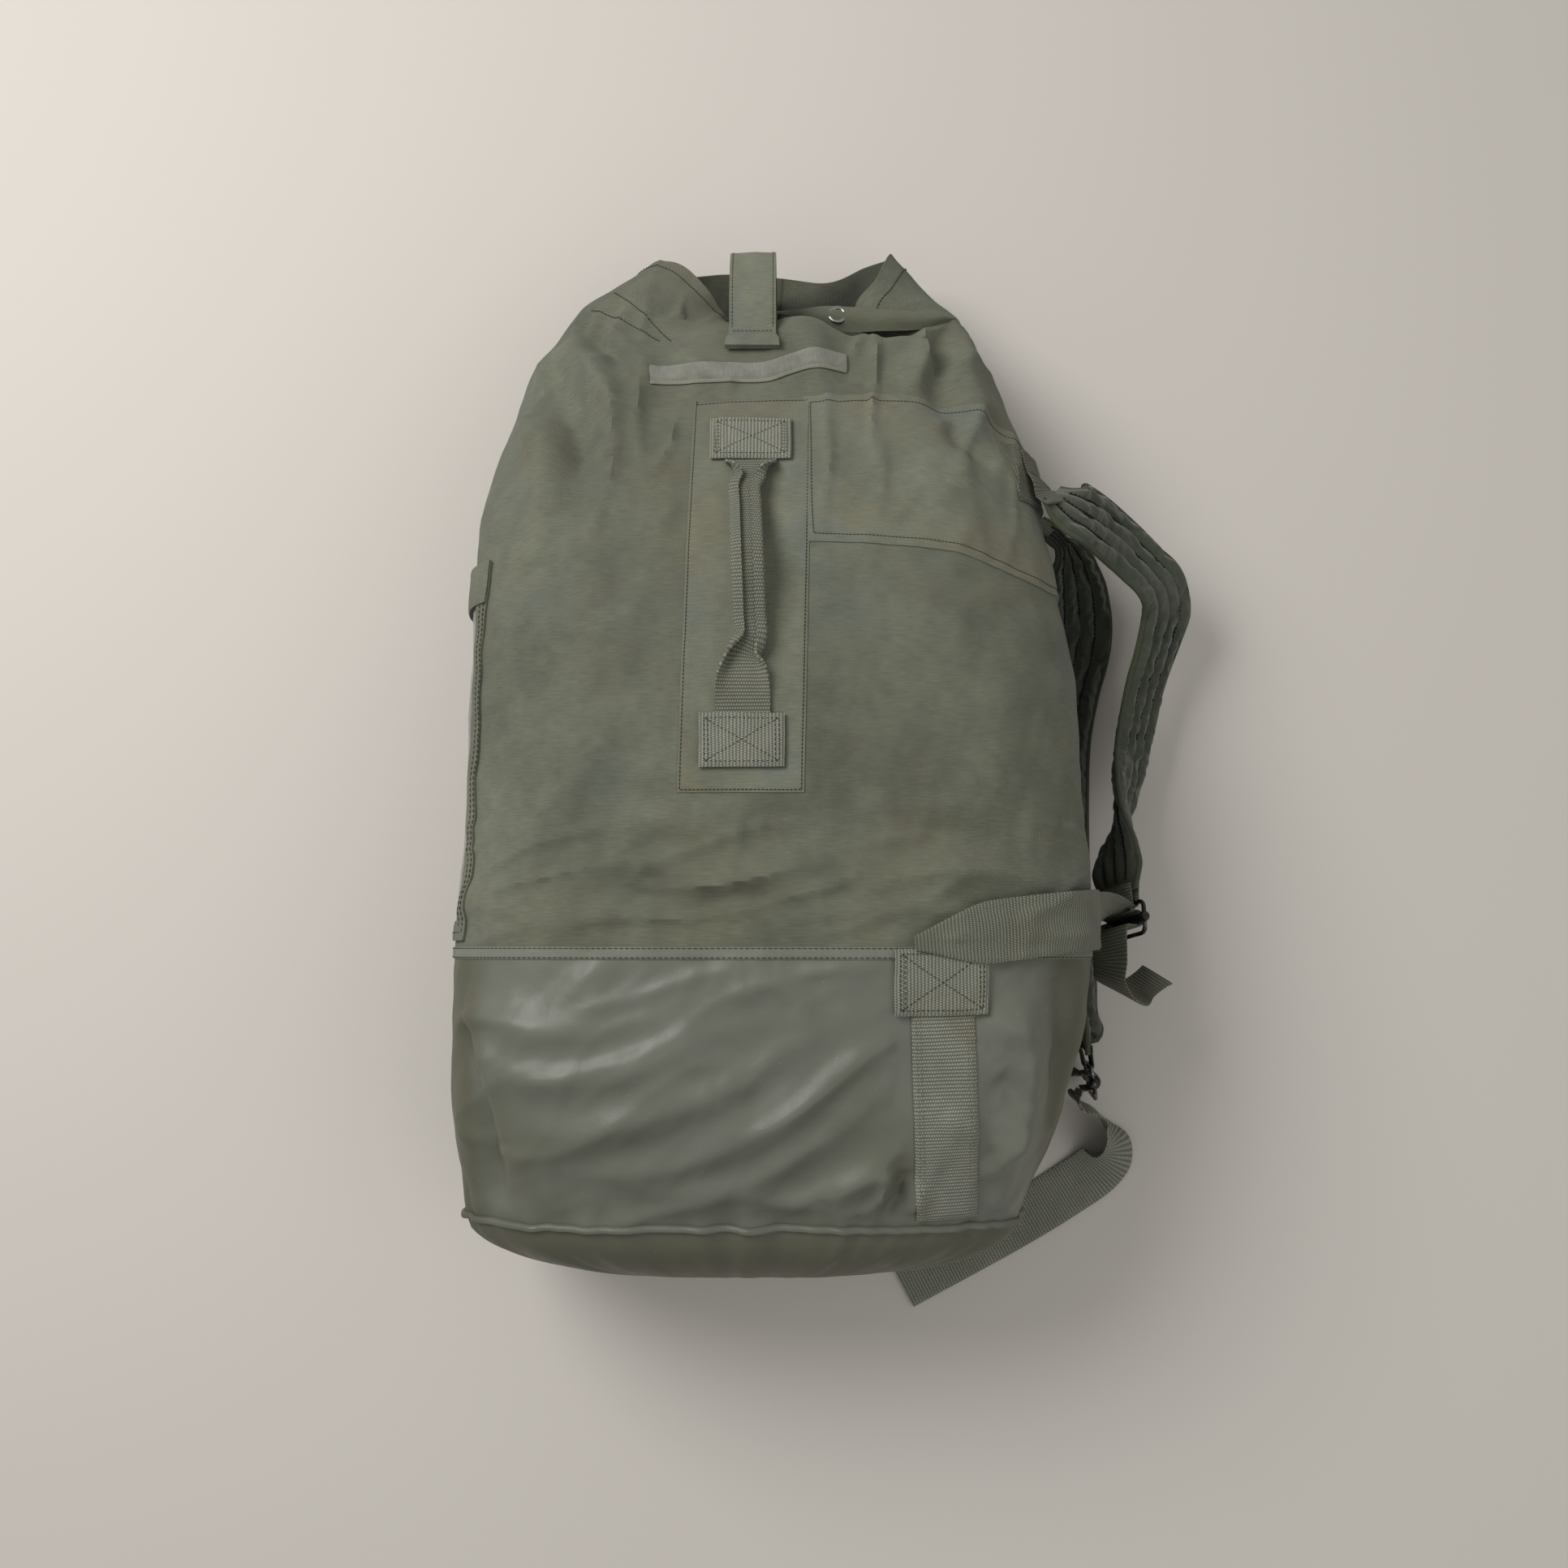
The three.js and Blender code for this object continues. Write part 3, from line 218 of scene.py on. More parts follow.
def new_material(name, roughness, sheen=0.0, metallic=0.0, coat=0.0):
    made = bpy.data.materials.new(name)
    made.use_nodes = True
    shader = made.node_tree.nodes["Principled BSDF"]
    shader.inputs["Roughness"].default_value = roughness
    shader.inputs["Metallic"].default_value = metallic
    shader.inputs["Sheen Weight"].default_value = sheen
    shader.inputs["Sheen Roughness"].default_value = 0.6
    shader.inputs["Coat Weight"].default_value = coat
    shader.inputs["Specular IOR Level"].default_value = 0.3
    return made, made.node_tree, shader


def flat_map(tree):
    return add_node(tree, "ShaderNodeUVMap", {"uv_map": "cloth"}).outputs[0]


def bumped(tree, shader, height, strength, depth):
    made = add_node(tree, "ShaderNodeBump", Strength=strength, Distance=depth, Height=height)
    tree.links.new(made.outputs[0], shader.inputs["Normal"])


def faded(tree, cloth, warm, cool, stains, clouds, size):
    """The cloth's colour after fading; cloth, warm and cool are swatches."""
    group = tree.nodes.new("ShaderNodeGroup")
    group.node_tree = MOTTLE
    for label, value in (("Cloth", srgb(*cloth)), ("Warm stain", srgb(*warm)), ("Cool stain", srgb(*cool)),
                         ("Stains", stains), ("Clouds", clouds), ("Size", size)):
        group.inputs[label].default_value = value
    return group.outputs["Color"]


def cloth_finish(name, cloth, warm, cool, stains=0.35, clouds=0.3, size=9.0, threads="weave", pitch=0.0016,
                 thread_shade=0.25, roughness=0.9, sheen=0.05, depth=0.0005, crease=0.0):
    """Woven cloth or webbing: uneven fading, threads that shade and stand up, and small creases."""
    made, tree, shader = new_material(name, roughness, sheen)
    colour = faded(tree, cloth, warm, cool, stains, clouds, size)
    woven = tree.nodes.new("ShaderNodeGroup")
    woven.node_tree = WEAVE if threads == "weave" else RIBS
    tree.links.new(flat_map(tree), woven.inputs["Map"])
    woven.inputs["Pitch"].default_value = pitch
    shade = add_node(tree, "ShaderNodeMapRange", s0=woven.outputs["Shade"], s1=0.0, s2=1.0,
                     s3=1 - thread_shade, s4=1 + thread_shade).outputs[0]
    tree.links.new(mixed(tree, 1.0, colour, grey(tree, shade), "MULTIPLY"), shader.inputs["Base Color"])
    height = woven.outputs["Height"]
    if crease:
        height = plus(tree, height, times(tree, grainy(tree, object_place(tree), 34.0, 4.0, 0.55), crease))
    bumped(tree, shader, height, 0.7, depth)
    return made


def coated_finish():
    """Rubbered cloth: satin, with a soft fine grain, pale rubbed clouds, sides painted darker and browner as
    shade, a darker base end, and small scuffs.
    """
    made, tree, shader = new_material("coated boot cloth", 0.45)
    place = object_place(tree)
    colour = faded(tree, (99, 101, 90), (88, 86, 70), (104, 107, 99), 0.4, 0.16, 7.0)
    parts = add_node(tree, "ShaderNodeSeparateXYZ", s0=place).outputs
    # the sides, where the bag turns down away from the overhead light, get painted shade as a darker,
    # browner colour; the base end is darkened with the same colour
    edge_noise = grainy(tree, place, 14.0, 3.0)
    spread = plus(tree, maths(tree, "ABSOLUTE", maths(tree, "SUBTRACT", parts[0], -0.004)),
                  times(tree, maths(tree, "SUBTRACT", edge_noise, 0.5), 0.02))
    side = between(tree, spread, 0.198, 0.222)
    low = between(tree, times(tree, parts[1], -1.0), 0.338, 0.352)
    side_shade_and_dark_end = maths(tree, "MAXIMUM", side, low)
    # mixes in the painted side shade and the darker base end
    with_side_shade_and_dark_end = mixed(tree, times(tree, side_shade_and_dark_end, 0.85), colour, srgb(78, 77, 62))
    speck = grainy(tree, place, 260.0, 3.0, 0.7)
    streak = grainy(tree, stretched(tree, place, (60, 7, 20), (0, 0, 0.6)), 1.0, 4.0)
    scuffed = times(tree, between(tree, speck, 0.66, 0.74), between(tree, streak, 0.5, 0.62))
    pale = mixed(tree, times(tree, scuffed, 0.45), with_side_shade_and_dark_end, srgb(150, 150, 138))
    tree.links.new(pale, shader.inputs["Base Color"])
    worn = add_node(tree, "ShaderNodeMapRange", s0=plus(tree, streak, times(tree, side_shade_and_dark_end, 0.3)),
                    s1=0.3, s2=0.9, s3=0.35, s4=0.54).outputs[0]
    tree.links.new(worn, shader.inputs["Roughness"])
    grain = grainy(tree, place, 900.0)
    crumple = grainy(tree, place, 22.0, 3.0)
    bumped(tree, shader, plus(tree, times(tree, grain, 0.25), times(tree, crumple, 5.0)), 0.6, 0.0006)
    return made


def metal_finish(name, colour, roughness, wear):
    """Wire whose finish is rubbed through in places."""
    made, tree, shader = new_material(name, roughness, metallic=1.0)
    place = object_place(tree)
    rubbed = between(tree, grainy(tree, place, 120.0, 4.0), 0.48, 0.7)
    tree.links.new(mixed(tree, times(tree, rubbed, wear), colour, srgb(168, 166, 160)),
                   shader.inputs["Base Color"])
    tree.links.new(plus(tree, roughness, times(tree, rubbed, -0.1)), shader.inputs["Roughness"])
    bumped(tree, shader, grainy(tree, place, 700.0), 0.15, 0.0003)
    return made


def film_finish():
    """Cloudy clear film, scratched along its length."""
    made, tree, shader = new_material("clear film", 0.25, coat=0.3)
    place = object_place(tree)
    haze = grainy(tree, place, 30.0, 4.0)
    scratch = grainy(tree, stretched(tree, place, (400, 12, 90)), 1.0, 3.0)
    tree.links.new(mixed(tree, haze, srgb(122, 118, 122), srgb(150, 145, 148)), shader.inputs["Base Color"])
    tree.links.new(add_node(tree, "ShaderNodeMapRange", s0=haze, s3=0.5, s4=0.8).outputs[0],
                   shader.inputs["Alpha"])
    bumped(tree, shader, plus(tree, scratch, haze), 0.4, 0.0004)
    return made


def floor_finish():
    made, _, shader = new_material("pale floor", 0.85)
    shader.inputs["Base Color"].default_value = srgb(196, 190, 182)
    return made


CANVAS = cloth_finish("canvas twill", (97, 99, 84), (104, 96, 76), (88, 95, 92), stains=0.26, clouds=0.85,
                      crease=3.5, thread_shade=0.3)
PATCH = cloth_finish("patch twill", (107, 109, 93), (118, 108, 84), (95, 103, 102), stains=0.34, clouds=0.6,
                     size=13.0, crease=2.0, thread_shade=0.3)
LOBE = cloth_finish("mouth twill", (93, 95, 78), (92, 88, 70), (84, 88, 80), stains=0.2, clouds=0.3,
                    crease=1.0)
TAPE = cloth_finish("loop tape", (122, 122, 108), (134, 132, 116), (96, 98, 86), stains=0.4, clouds=0.8,
                    size=60.0, pitch=0.0011, thread_shade=0.35, depth=0.0012, roughness=1.0, sheen=0.3,
                    crease=5.0)
TAPE_EDGE = cloth_finish("tape edge", (132, 132, 118), (126, 124, 106), (126, 128, 116), pitch=0.001)
WEB = cloth_finish("webbing", (108, 109, 95), (96, 92, 74), (98, 100, 90), stains=0.3, clouds=0.3,
                   size=24.0, threads="ribs", pitch=0.0026, thread_shade=0.5, depth=0.0009)
PALE_WEB = cloth_finish("faded webbing", (124, 125, 112), (120, 112, 88), (108, 112, 104), stains=0.4,
                        clouds=0.35, size=26.0, threads="ribs", pitch=0.0026, thread_shade=0.5,
                        depth=0.0010)
DARK_WEB = cloth_finish("dark webbing", (88, 88, 74), (96, 90, 70), (80, 82, 72), stains=0.3, clouds=0.3,
                        size=24.0, threads="ribs", pitch=0.0024, thread_shade=0.55, depth=0.0006)
PAD = cloth_finish("quilted nylon", (50, 56, 38), (60, 58, 40), (46, 54, 40), stains=0.3, clouds=0.35,
                   size=20.0, pitch=0.0012, thread_shade=0.14, depth=0.0003, roughness=0.55, sheen=0.25,
                   crease=3.0)
BINDING = cloth_finish("pad binding", (68, 73, 54), (74, 72, 54), (64, 70, 58), pitch=0.0016)
# quilting thread, near-black: partly the thread's own dark colour, partly painted shade of the pad's valleys
# along its seams
QUILTING_AND_VALLEY_SHADE = cloth_finish("quilting thread", (24, 27, 18), (30, 28, 18), (24, 28, 22), pitch=0.0008)
HEM = cloth_finish("hem tape", (116, 118, 106), (104, 102, 84), (112, 114, 104), stains=0.3, clouds=0.25,
                   size=20.0, pitch=0.0014, thread_shade=0.12)
THREAD = cloth_finish("dark thread", (62, 60, 44), (74, 66, 44), (58, 62, 52), pitch=0.0008,
                      thread_shade=0.2)
PALE_THREAD = cloth_finish("pale thread", (132, 136, 116), (126, 118, 90), (124, 130, 118), pitch=0.0008)
COATED = coated_finish()
WIRE = metal_finish("blackened wire", srgb(58, 58, 56), 0.36, 0.5)
EYELET = metal_finish("dull plate", srgb(150, 150, 146), 0.34, 0.3)
FILM = film_finish()

# ---- The filled bag's skin --------------------------------------------------------------------------

BAG_WIDTH, BAG_DEPTH = 492.0, 268.0
PRESSED = 4.0  # the round section would reach this far into the floor
# Sections from the base seam to the collar: share of the way; half width and middle across, as shares of
# half the width; depth as a share of the depth; height off the floor; squareness.
STATIONS = np.array([
    [0.0, 0.875, -0.083, 0.8, 12, 2.9],
    [0.1, 0.955, -0.05, 0.94, 2, 3.0],
    [0.25, 0.995, 0.001, 1.0, 0, 3.0],
    [0.42, 0.992, 0.018, 1.0, 0, 2.9],
    [0.6, 0.973, 0.004, 0.97, 0, 2.8],
    [0.75, 0.945, -0.03, 0.885, 0, 2.7],
    [0.87, 0.89, -0.031, 0.77, 0, 2.6],
    [0.95, 0.83, -0.032, 0.645, 4, 2.5],
    [1.0, 0.78, -0.05, 0.56, 8, 2.5]])
BASE_SEAM, HEM_LINE, MOUTH_LINE, COLLAR_SEAM = -341.0, -143.0, 286.0, 355.0
BEFORE_MOUTH = 250.6  # the curve into the mouth starts from this section
PAST_FOLD, TO_RIM = 30, 90  # cloth from the collar's seam
COLUMNS = 288
GIRTH_ROWS = 190  # girths are read from the skin's rows up to just past the mouth's line
ROUND_BODY, ROUND_HEM, ROUND_SEAM = 1400, 1290, 1100  # rough lengths round the bag


def curve(knots, values, at):
    """A smooth curve through values at uneven knots, with any number of values at each."""
    knots, values, at = np.asarray(knots, float), np.asarray(values, float), np.asarray(at, float)
    gaps = np.diff(knots)
    slopes = np.diff(values, axis=0) / gaps.reshape((-1,) + (1,) * (values.ndim - 1))
    tangents = np.concatenate([slopes[:1], (slopes[:-1] + slopes[1:]) / 2, slopes[-1:]])
    k = np.clip(np.searchsorted(knots, at, side="right") - 1, 0, len(gaps) - 1)
    shape = at.shape + (1,) * (values.ndim - 1)
    t = ((at - knots[k]) / gaps[k]).reshape(shape)
    h = gaps[k].reshape(shape)
    return ((2 * t**3 - 3 * t**2 + 1) * values[k] + (t**3 - 2 * t**2 + t) * h * tangents[k]
            + (-2 * t**3 + 3 * t**2) * values[k + 1] + (t**3 - t**2) * h * tangents[k + 1])


def lengths_along(path):
    """The length from the start of a path to each of its places."""
    return np.concatenate([[0], np.cumsum(np.linalg.norm(np.diff(path, axis=0), axis=1))])


def flat_grid(across, along):
    """A flat map for a grid: one measure for each column and one for each row."""
    return np.stack(np.broadcast_arrays(across[None, :], along[:, None]), -1)


def between_places(want, length, path):
    """The places at the wanted lengths along a path, straight between its own places."""
    return np.stack([np.interp(want, length, path[:, k]) for k in range(path.shape[1])], -1)


def fade(value, low, high):
    t = np.clip((value - low) / (high - low), 0, 1)
    return t * t * (3 - 2 * t)


UNDER_WEBBING, UNDER_HEM, UNDER_PATCH = 9.2, 2.0, 2.0


def rest_height(x, y):
    """How far the underside is held off the floor by the webbing, the hem and the patch under it."""
    webbing = UNDER_WEBBING * fade(x, 60, 86) * (1 - fade(y, -107, -47))
    hem = UNDER_HEM * np.clip(1 - np.abs(y - HEM_LINE) / 20, 0, 1)
    patch = UNDER_PATCH * fade(x, -20, 20) * fade(y, 83, 128) * (1 - fade(y, 335, 355))
    return np.maximum(np.maximum(webbing, hem), patch) + 0.3


def section_at(y):
    """Half width, middle across, half depth, middle height and squareness at y."""
    share = (y - BASE_SEAM) / (COLLAR_SEAM - BASE_SEAM)
    width, x, depth, lift, power = curve(STATIONS[:, 0], STATIONS[:, 1:], share)
    half_depth = depth * BAG_DEPTH / 2
    return width * BAG_WIDTH / 2, x * BAG_WIDTH / 2, half_depth, half_depth + lift - PRESSED, power


def inside_at(y):
    """The middle of the bag's section at y."""
    _, x, _, z, _ = section_at(min(y, COLLAR_SEAM))
    return np.array([x, y, z], float)


def section_ring(y, turns):
    """Places on the section at y, by cloth length: turns is 0 at the top, 0.25 on the strap side."""
    width, x, depth, z, power = section_at(y)
    angle = np.linspace(-math.pi, math.pi, 1441)

    def at(a):
        across, up = (np.sign(f) * np.abs(f) ** (2 / power) for f in (np.sin(a), np.cos(a)))
        px = x + width * across
        return np.stack([px, np.full_like(px, y), np.maximum(z + depth * up, rest_height(px, y))], -1)
    fine = at(angle)
    length = lengths_along(fine)
    middle = length[720]
    share = np.where(length < middle, (length - middle) / middle,
                     (length - middle) / (length[-1] - middle)) / 2
    turns = (np.asarray(turns) + 0.5) % 1.0 - 0.5
    return between_places(turns, share, fine)


TURNS = np.arange(COLUMNS + 1) / COLUMNS

# The mouth: for each place round it, its share of the way round, then the points at the fold, past it,
# and at the rim. The front folds in under itself, the window side is a lobe, and the back lies open.
MOUTH = [
    (0.000, (-5, 360, 165), (-5, 368, 148), (-8, 356, 112)),
    (0.034, (32, 366, 165), (31, 367, 146), (24, 350, 106)),
    (0.074, (72, 351, 161), (74, 351, 140), (62, 344, 98)),
    (0.110, (110, 357, 151), (113, 361, 134), (88, 360, 92)),
    (0.150, (148, 372, 124), (146, 388, 112), (70, 396, 106)),
    (0.205, (170, 362, 104), (152, 394, 101), (88, 428, 103)),
    (0.250, (176, 360, 76), (156, 398, 72), (101, 454, 93)),
    (0.310, (160, 360, 40), (146, 400, 42), (104, 461, 70)),
    (0.380, (112, 360, 14), (104, 402, 20), (82, 460, 54)),
    (0.450, (50, 360, 6), (48, 404, 12), (46, 449, 46)),
    (0.500, (0, 360, 5), (2, 404, 10), (8, 455, 42)),
    (0.560, (-60, 360, 6), (-52, 404, 12), (-40, 458, 44)),
    (0.620, (-122, 360, 14), (-112, 400, 22), (-72, 452, 52)),
    (0.690, (-176, 358, 42), (-156, 400, 46), (-98, 450, 66)),
    (0.750, (-198, 357, 84), (-166, 402, 84), (-104, 450, 82)),
    (0.805, (-180, 364, 116), (-140, 410, 112), (-92, 446, 98)),
    (0.860, (-146, 366, 140), (-112, 396, 138), (-72, 434, 112)),
    (0.908, (-104, 350, 158), (-84, 374, 152), (-52, 408, 122)),
    (0.955, (-54, 354, 164), (-50, 368, 152), (-38, 384, 122)),
]


def round_trip(values, turns):
    """A smooth closed curve through values at MOUTH's shares."""
    shares = np.array([row[0] for row in MOUTH])
    values = np.asarray(values, float)
    knots = np.concatenate([shares[-3:] - 1, shares, shares[:3] + 1])
    return curve(knots, np.concatenate([values[-3:], values, values[:3]]), np.asarray(turns) % 1.0)


def bag_grid():
    """The undisturbed skin: rows from the base seam to the rim, and the place of each row."""
    ys = np.unique(np.concatenate([np.linspace(BASE_SEAM, HEM_LINE, 60),
                                   np.linspace(HEM_LINE, MOUTH_LINE, 128)]))
    rows = [section_ring(y, TURNS) for y in ys]
    fold, past, rim = (round_trip([row[k] for row in MOUTH], TURNS) for k in (1, 2, 3))
    stops = np.stack([section_ring(BEFORE_MOUTH, TURNS), section_ring(MOUTH_LINE, TURNS), fold, past, rim])
    places = np.array([BEFORE_MOUTH, MOUTH_LINE, COLLAR_SEAM, COLLAR_SEAM + PAST_FOLD,
                       COLLAR_SEAM + TO_RIM])
    extra = np.linspace(MOUTH_LINE, places[-1], 62)[1:]
    rows += list(curve(places, stops, extra))
    grid = np.array(rows)
    grid[:, -1] = grid[:, 0]
    return grid, np.concatenate([ys, extra])


def grid_normals(grid):
    closed = np.concatenate([grid[:, -2:-1], grid, grid[:, 1:2]], 1)
    round_way = closed[:, 2:] - closed[:, :-2]
    along_way = np.gradient(grid, axis=0)
    normal = np.cross(along_way, round_way)
    normal /= np.maximum(np.linalg.norm(normal, axis=-1, keepdims=True), 1e-9)
    return normal


BASE, ROWS = bag_grid()
BASE_OUT = grid_normals(BASE)
if BASE_OUT[60, 0, 2] < 0:
    BASE_OUT = -BASE_OUT
UPWARD = BASE_OUT[..., 2]

# Folds in the cloth: a path of places (x, y) on the face, its width, its height (a valley is under 0)
# and its sharpness.
FOLDS = [
    # window-side shoulder
    ([(-186, 352), (-150, 330), (-128, 292), (-122, 240)], 16, 7, 1.6),
    ([(-196, 320), (-166, 300), (-150, 262), (-150, 215)], 14, -7, 1.6),
    ([(-203, 290), (-180, 255), (-172, 200), (-176, 150)], 16, 5, 2),
    ([(-140, 372), (-120, 345), (-100, 318), (-96, 280)], 12, 5, 1.6),
    ([(-160, 376), (-138, 350), (-116, 322)], 9, -5, 1.5),
    ([(-150, 190), (-136, 140), (-140, 90)], 22, 3, 2),
    # front of the mouth
    ([(-90, 350), (-60, 322), (-30, 300)], 12, 1.6, 2),
    ([(30, 362), (36, 336), (40, 312)], 10, 2, 1.8),
    ([(60, 352), (62, 330), (52, 310)], 12, -1.5, 1.8),
    # strap-side shoulder
    ([(152, 384), (138, 352), (134, 318), (140, 276)], 14, -5, 1.6),
    ([(160, 380), (156, 340), (158, 300), (164, 262)], 14, 5, 1.8),
    ([(124, 356), (118, 322), (112, 300)], 11, 5, 1.6),
    ([(140, 276), (152, 258), (178, 240)], 12, -5, 1.6),
    ([(150, 240), (140, 190), (150, 140)], 22, 3, 2),
    # above the hem
    ([(-150, -96), (-96, -80), (-40, -92), (10, -84)], 11, 3.0, 1.6),
    ([(-170, -120), (-110, -112), (-60, -122)], 9, 2.4, 1.6),
    ([(-120, -62), (-70, -50), (-20, -60)], 14, 2.2, 2),
    ([(-60, -108), (-10, -104), (40, -116)], 8, -2.4, 1.6),
    ([(60, -100), (110, -84), (170, -86), (220, -98)], 12, 4, 1.6),
    ([(84, -78), (130, -60), (190, -60)], 14, -3, 2),
    ([(-190, -70), (-150, -40), (-130, 10)], 18, 3, 2),
    ([(150, -30), (170, 20), (168, 80)], 24, 3, 2),
    # boot
    ([(-226, -172), (-180, -196), (-120, -196), (-60, -180)], 13, 2.6, 2),
    ([(-210, -214), (-160, -232), (-100, -226), (-40, -200), (10, -182)], 14, 3.2, 1.8),
    ([(-190, -268), (-130, -270), (-60, -252), (0, -222), (40, -190)], 14, 3.4, 1.8),
    ([(-150, -300), (-80, -296), (-10, -270), (50, -228), (84, -196)], 13, 3.6, 1.7),
    ([(-90, -318), (-20, -306), (44, -272), (92, -230)], 11, 3.0, 1.7),
    ([(-4, -326), (52, -306), (96, -280)], 9, 3.0, 1.6),
    ([(-28, -176), (-4, -168), (20, -176), (18, -196)], 9, 1.6, 1.8),
    ([(-232, -196), (-214, -240), (-206, -290), (-200, -330)], 10, -6, 1.5),
    ([(-220, -180), (-204, -230), (-196, -280)], 12, 4, 1.8),
    ([(122, -258), (142, -268), (158, -286)], 8, 2.6, 1.6),
    ([(152, -306), (166, -286), (182, -262)], 9, 3, 1.6),
    ([(146, -206), (168, -192), (190, -204)], 13, 2.4, 1.8),
    ([(40, -322), (66, -304), (90, -300)], 9, 3, 1.6),
    ([(162, -230), (176, -244), (180, -262)], 8, -2.4, 1.6),
    ([(176, -170), (186, -220), (178, -280), (166, -330)], 14, 4, 1.8),
    ([(210, -160), (214, -220), (200, -290)], 10, -4, 1.5),
    ([(64, -330), (78, -314), (84, -292)], 7, 3.2, 1.5),
    ([(80, -332), (94, -316), (98, -298)], 6, -3.0, 1.5),
    ([(100, -330), (108, -308)], 6, 2.6, 1.5),
]
FOLD_SCALE = 2.3
HELD_FLAT = 0.25  # the share of the wrinkles left where something is sewn on
SHOULDER_WRINKLES, HEM_WRINKLES, BOOT_WRINKLES, BOOT_FINE_WRINKLES = 4.6, 4.2, 3.8, 1.1
SOFT_SWELLS, SMALL_SWELLS = 3.2, 1.1


def wrinkles(places, along, across, lean, seed):
    """Sharp-backed wrinkles that run one way: 1 on the back of each, 0 between them."""
    turned = np.array([[math.cos(lean), math.sin(lean)], [-math.sin(lean), math.cos(lean)]])
    run = places[:, :2] @ turned.T / np.array([along, across])
    upward = seed + places[:, 2] * 0.006
    level = np.array([noise.noise(Vector((u, v, w))) for (u, v), w in zip(run, upward)])
    return np.clip(1 - 3.4 * np.abs(level), 0, 1) ** 1.6


def folded(grid):
    """The skin pushed out and in along its folds, uneven all over, and puckered along the seams."""
    flat = grid.reshape(-1, 3)
    push = np.zeros(len(flat))
    facing = fade(UPWARD.reshape(-1), -0.1, 0.35)
    for path, width, height, sharp in FOLDS:
        points = []
        for x, y in path:
            d = (flat[:, 0] - x) ** 2 + (flat[:, 1] - y) ** 2 + np.where(UPWARD.reshape(-1) > 0.1, 0, 1e6)
            points.append(flat[np.argmin(d)])
        points = np.array(points)
        lengths = lengths_along(points)
        fine = curve(lengths, points, np.linspace(0, lengths[-1], 28))
        best, way = np.full(len(flat), 1e9), np.zeros(len(flat))
        near = np.all((flat > fine.min(0) - 3 * width) & (flat < fine.max(0) + 3 * width), axis=1)
        part = flat[near]
        low, where = np.full(len(part), 1e9), np.zeros(len(part))
        for k in range(len(fine) - 1):
            a, b = fine[k], fine[k + 1]
            u = np.clip(((part - a) @ (b - a)) / max((b - a) @ (b - a), 1e-9), 0, 1)
            d = np.linalg.norm(part - a - u[:, None] * (b - a), axis=1)
            closer = d < low
            low[closer], where[closer] = d[closer], ((k + u) / (len(fine) - 1))[closer]
        best[near], way[near] = low, where
        taper = np.clip(np.sin(np.pi * np.clip(way, 0.0, 1.0)), 0, 1) ** 0.55
        push += FOLD_SCALE * height * np.exp(-(best / width) ** sharp) * taper * facing
    soft = np.array([noise.fractal(Vector(p) * 0.011, 0.6, 2.0, 3, noise_basis="PERLIN_ORIGINAL")
                     for p in flat])
    small = np.array([noise.noise(Vector((p[0] * 0.03, p[1] * 0.022, p[2] * 0.03))) for p in flat])
    push += SOFT_SWELLS * soft * fade(flat[:, 2], 2, 30) + SMALL_SWELLS * small * fade(flat[:, 2], 2, 30)
    # finer wrinkles: down the shoulders, across above the hem, and leaning over the boot
    y = flat[:, 1]
    shoulders = 0.25 + fade(y, 130, 300) * (1 - fade(y, 372, 400))
    above_hem = np.exp(-((y - HEM_LINE - 48) / 50) ** 2)
    low_down = 1 - fade(y, HEM_LINE - 16, HEM_LINE)
    cloth = fade(y, HEM_LINE, HEM_LINE + 12)
    fine_push = SHOULDER_WRINKLES * shoulders * cloth * wrinkles(flat, 120, 30, math.radians(78), 0.5)
    fine_push += HEM_WRINKLES * above_hem * cloth * wrinkles(flat, 110, 26, math.radians(8), 2.5)
    fine_push += BOOT_WRINKLES * low_down * wrinkles(flat, 150, 56, math.radians(28), 4.5)
    fine_push += BOOT_FINE_WRINKLES * low_down * wrinkles(flat, 70, 26, math.radians(48), 7.5)
    under_handle = (np.abs(flat[:, 0] + 16) < 56) & (y > -34)
    under_tape = (np.abs(flat[:, 0] + 18) < 84) & (y > 300) & (y < 372)
    under_strap = (flat[:, 0] > 88) & (flat[:, 0] < 162) & (y < HEM_LINE + 8)
    top_only = fade(UPWARD.reshape(-1), 0.2, 0.65)
    push += fine_push * top_only * np.where(under_handle | under_strap | under_tape, HELD_FLAT, 1.0)
    # puckers beside the base seam and the hem, drawn in by the thread
    round_way = np.tile(TURNS, len(grid)) * ROUND_BODY
    for seam, reach, size, pitch in ((BASE_SEAM, 26, 1.8, 0.23), (HEM_LINE, 14, 0.7, 0.3)):
        close = np.exp(-np.abs(flat[:, 1] - seam) / reach)
        across, along = round_way * pitch * 0.24, flat[:, 1] * 0.004
        wave = np.array([noise.noise(Vector((r, s, 3.1))) for r, s in zip(across, along)])
        push += size * wave * close * 2
    push *= fade(flat[:, 2], 1, 14) * 0.85 + 0.15
    push = np.maximum(push, -12).reshape(grid.shape[:2])
    push[:, -1] = push[:, 0]
    out = grid + BASE_OUT * push[..., None]
    out[..., 2] = np.maximum(out[..., 2], rest_height(out[..., 0], np.minimum(out[..., 1], 400)))
    return out


SKIN = folded(BASE)
GIRTH = np.array([np.linalg.norm(np.diff(row, axis=0), axis=1).sum() for row in BASE])

# ---- Cloth made from grids --------------------------------------------------------------------------


def select_only(piece):
    bpy.ops.object.select_all(action="DESELECT")
    piece.select_set(True)
    bpy.context.view_layer.objects.active = piece


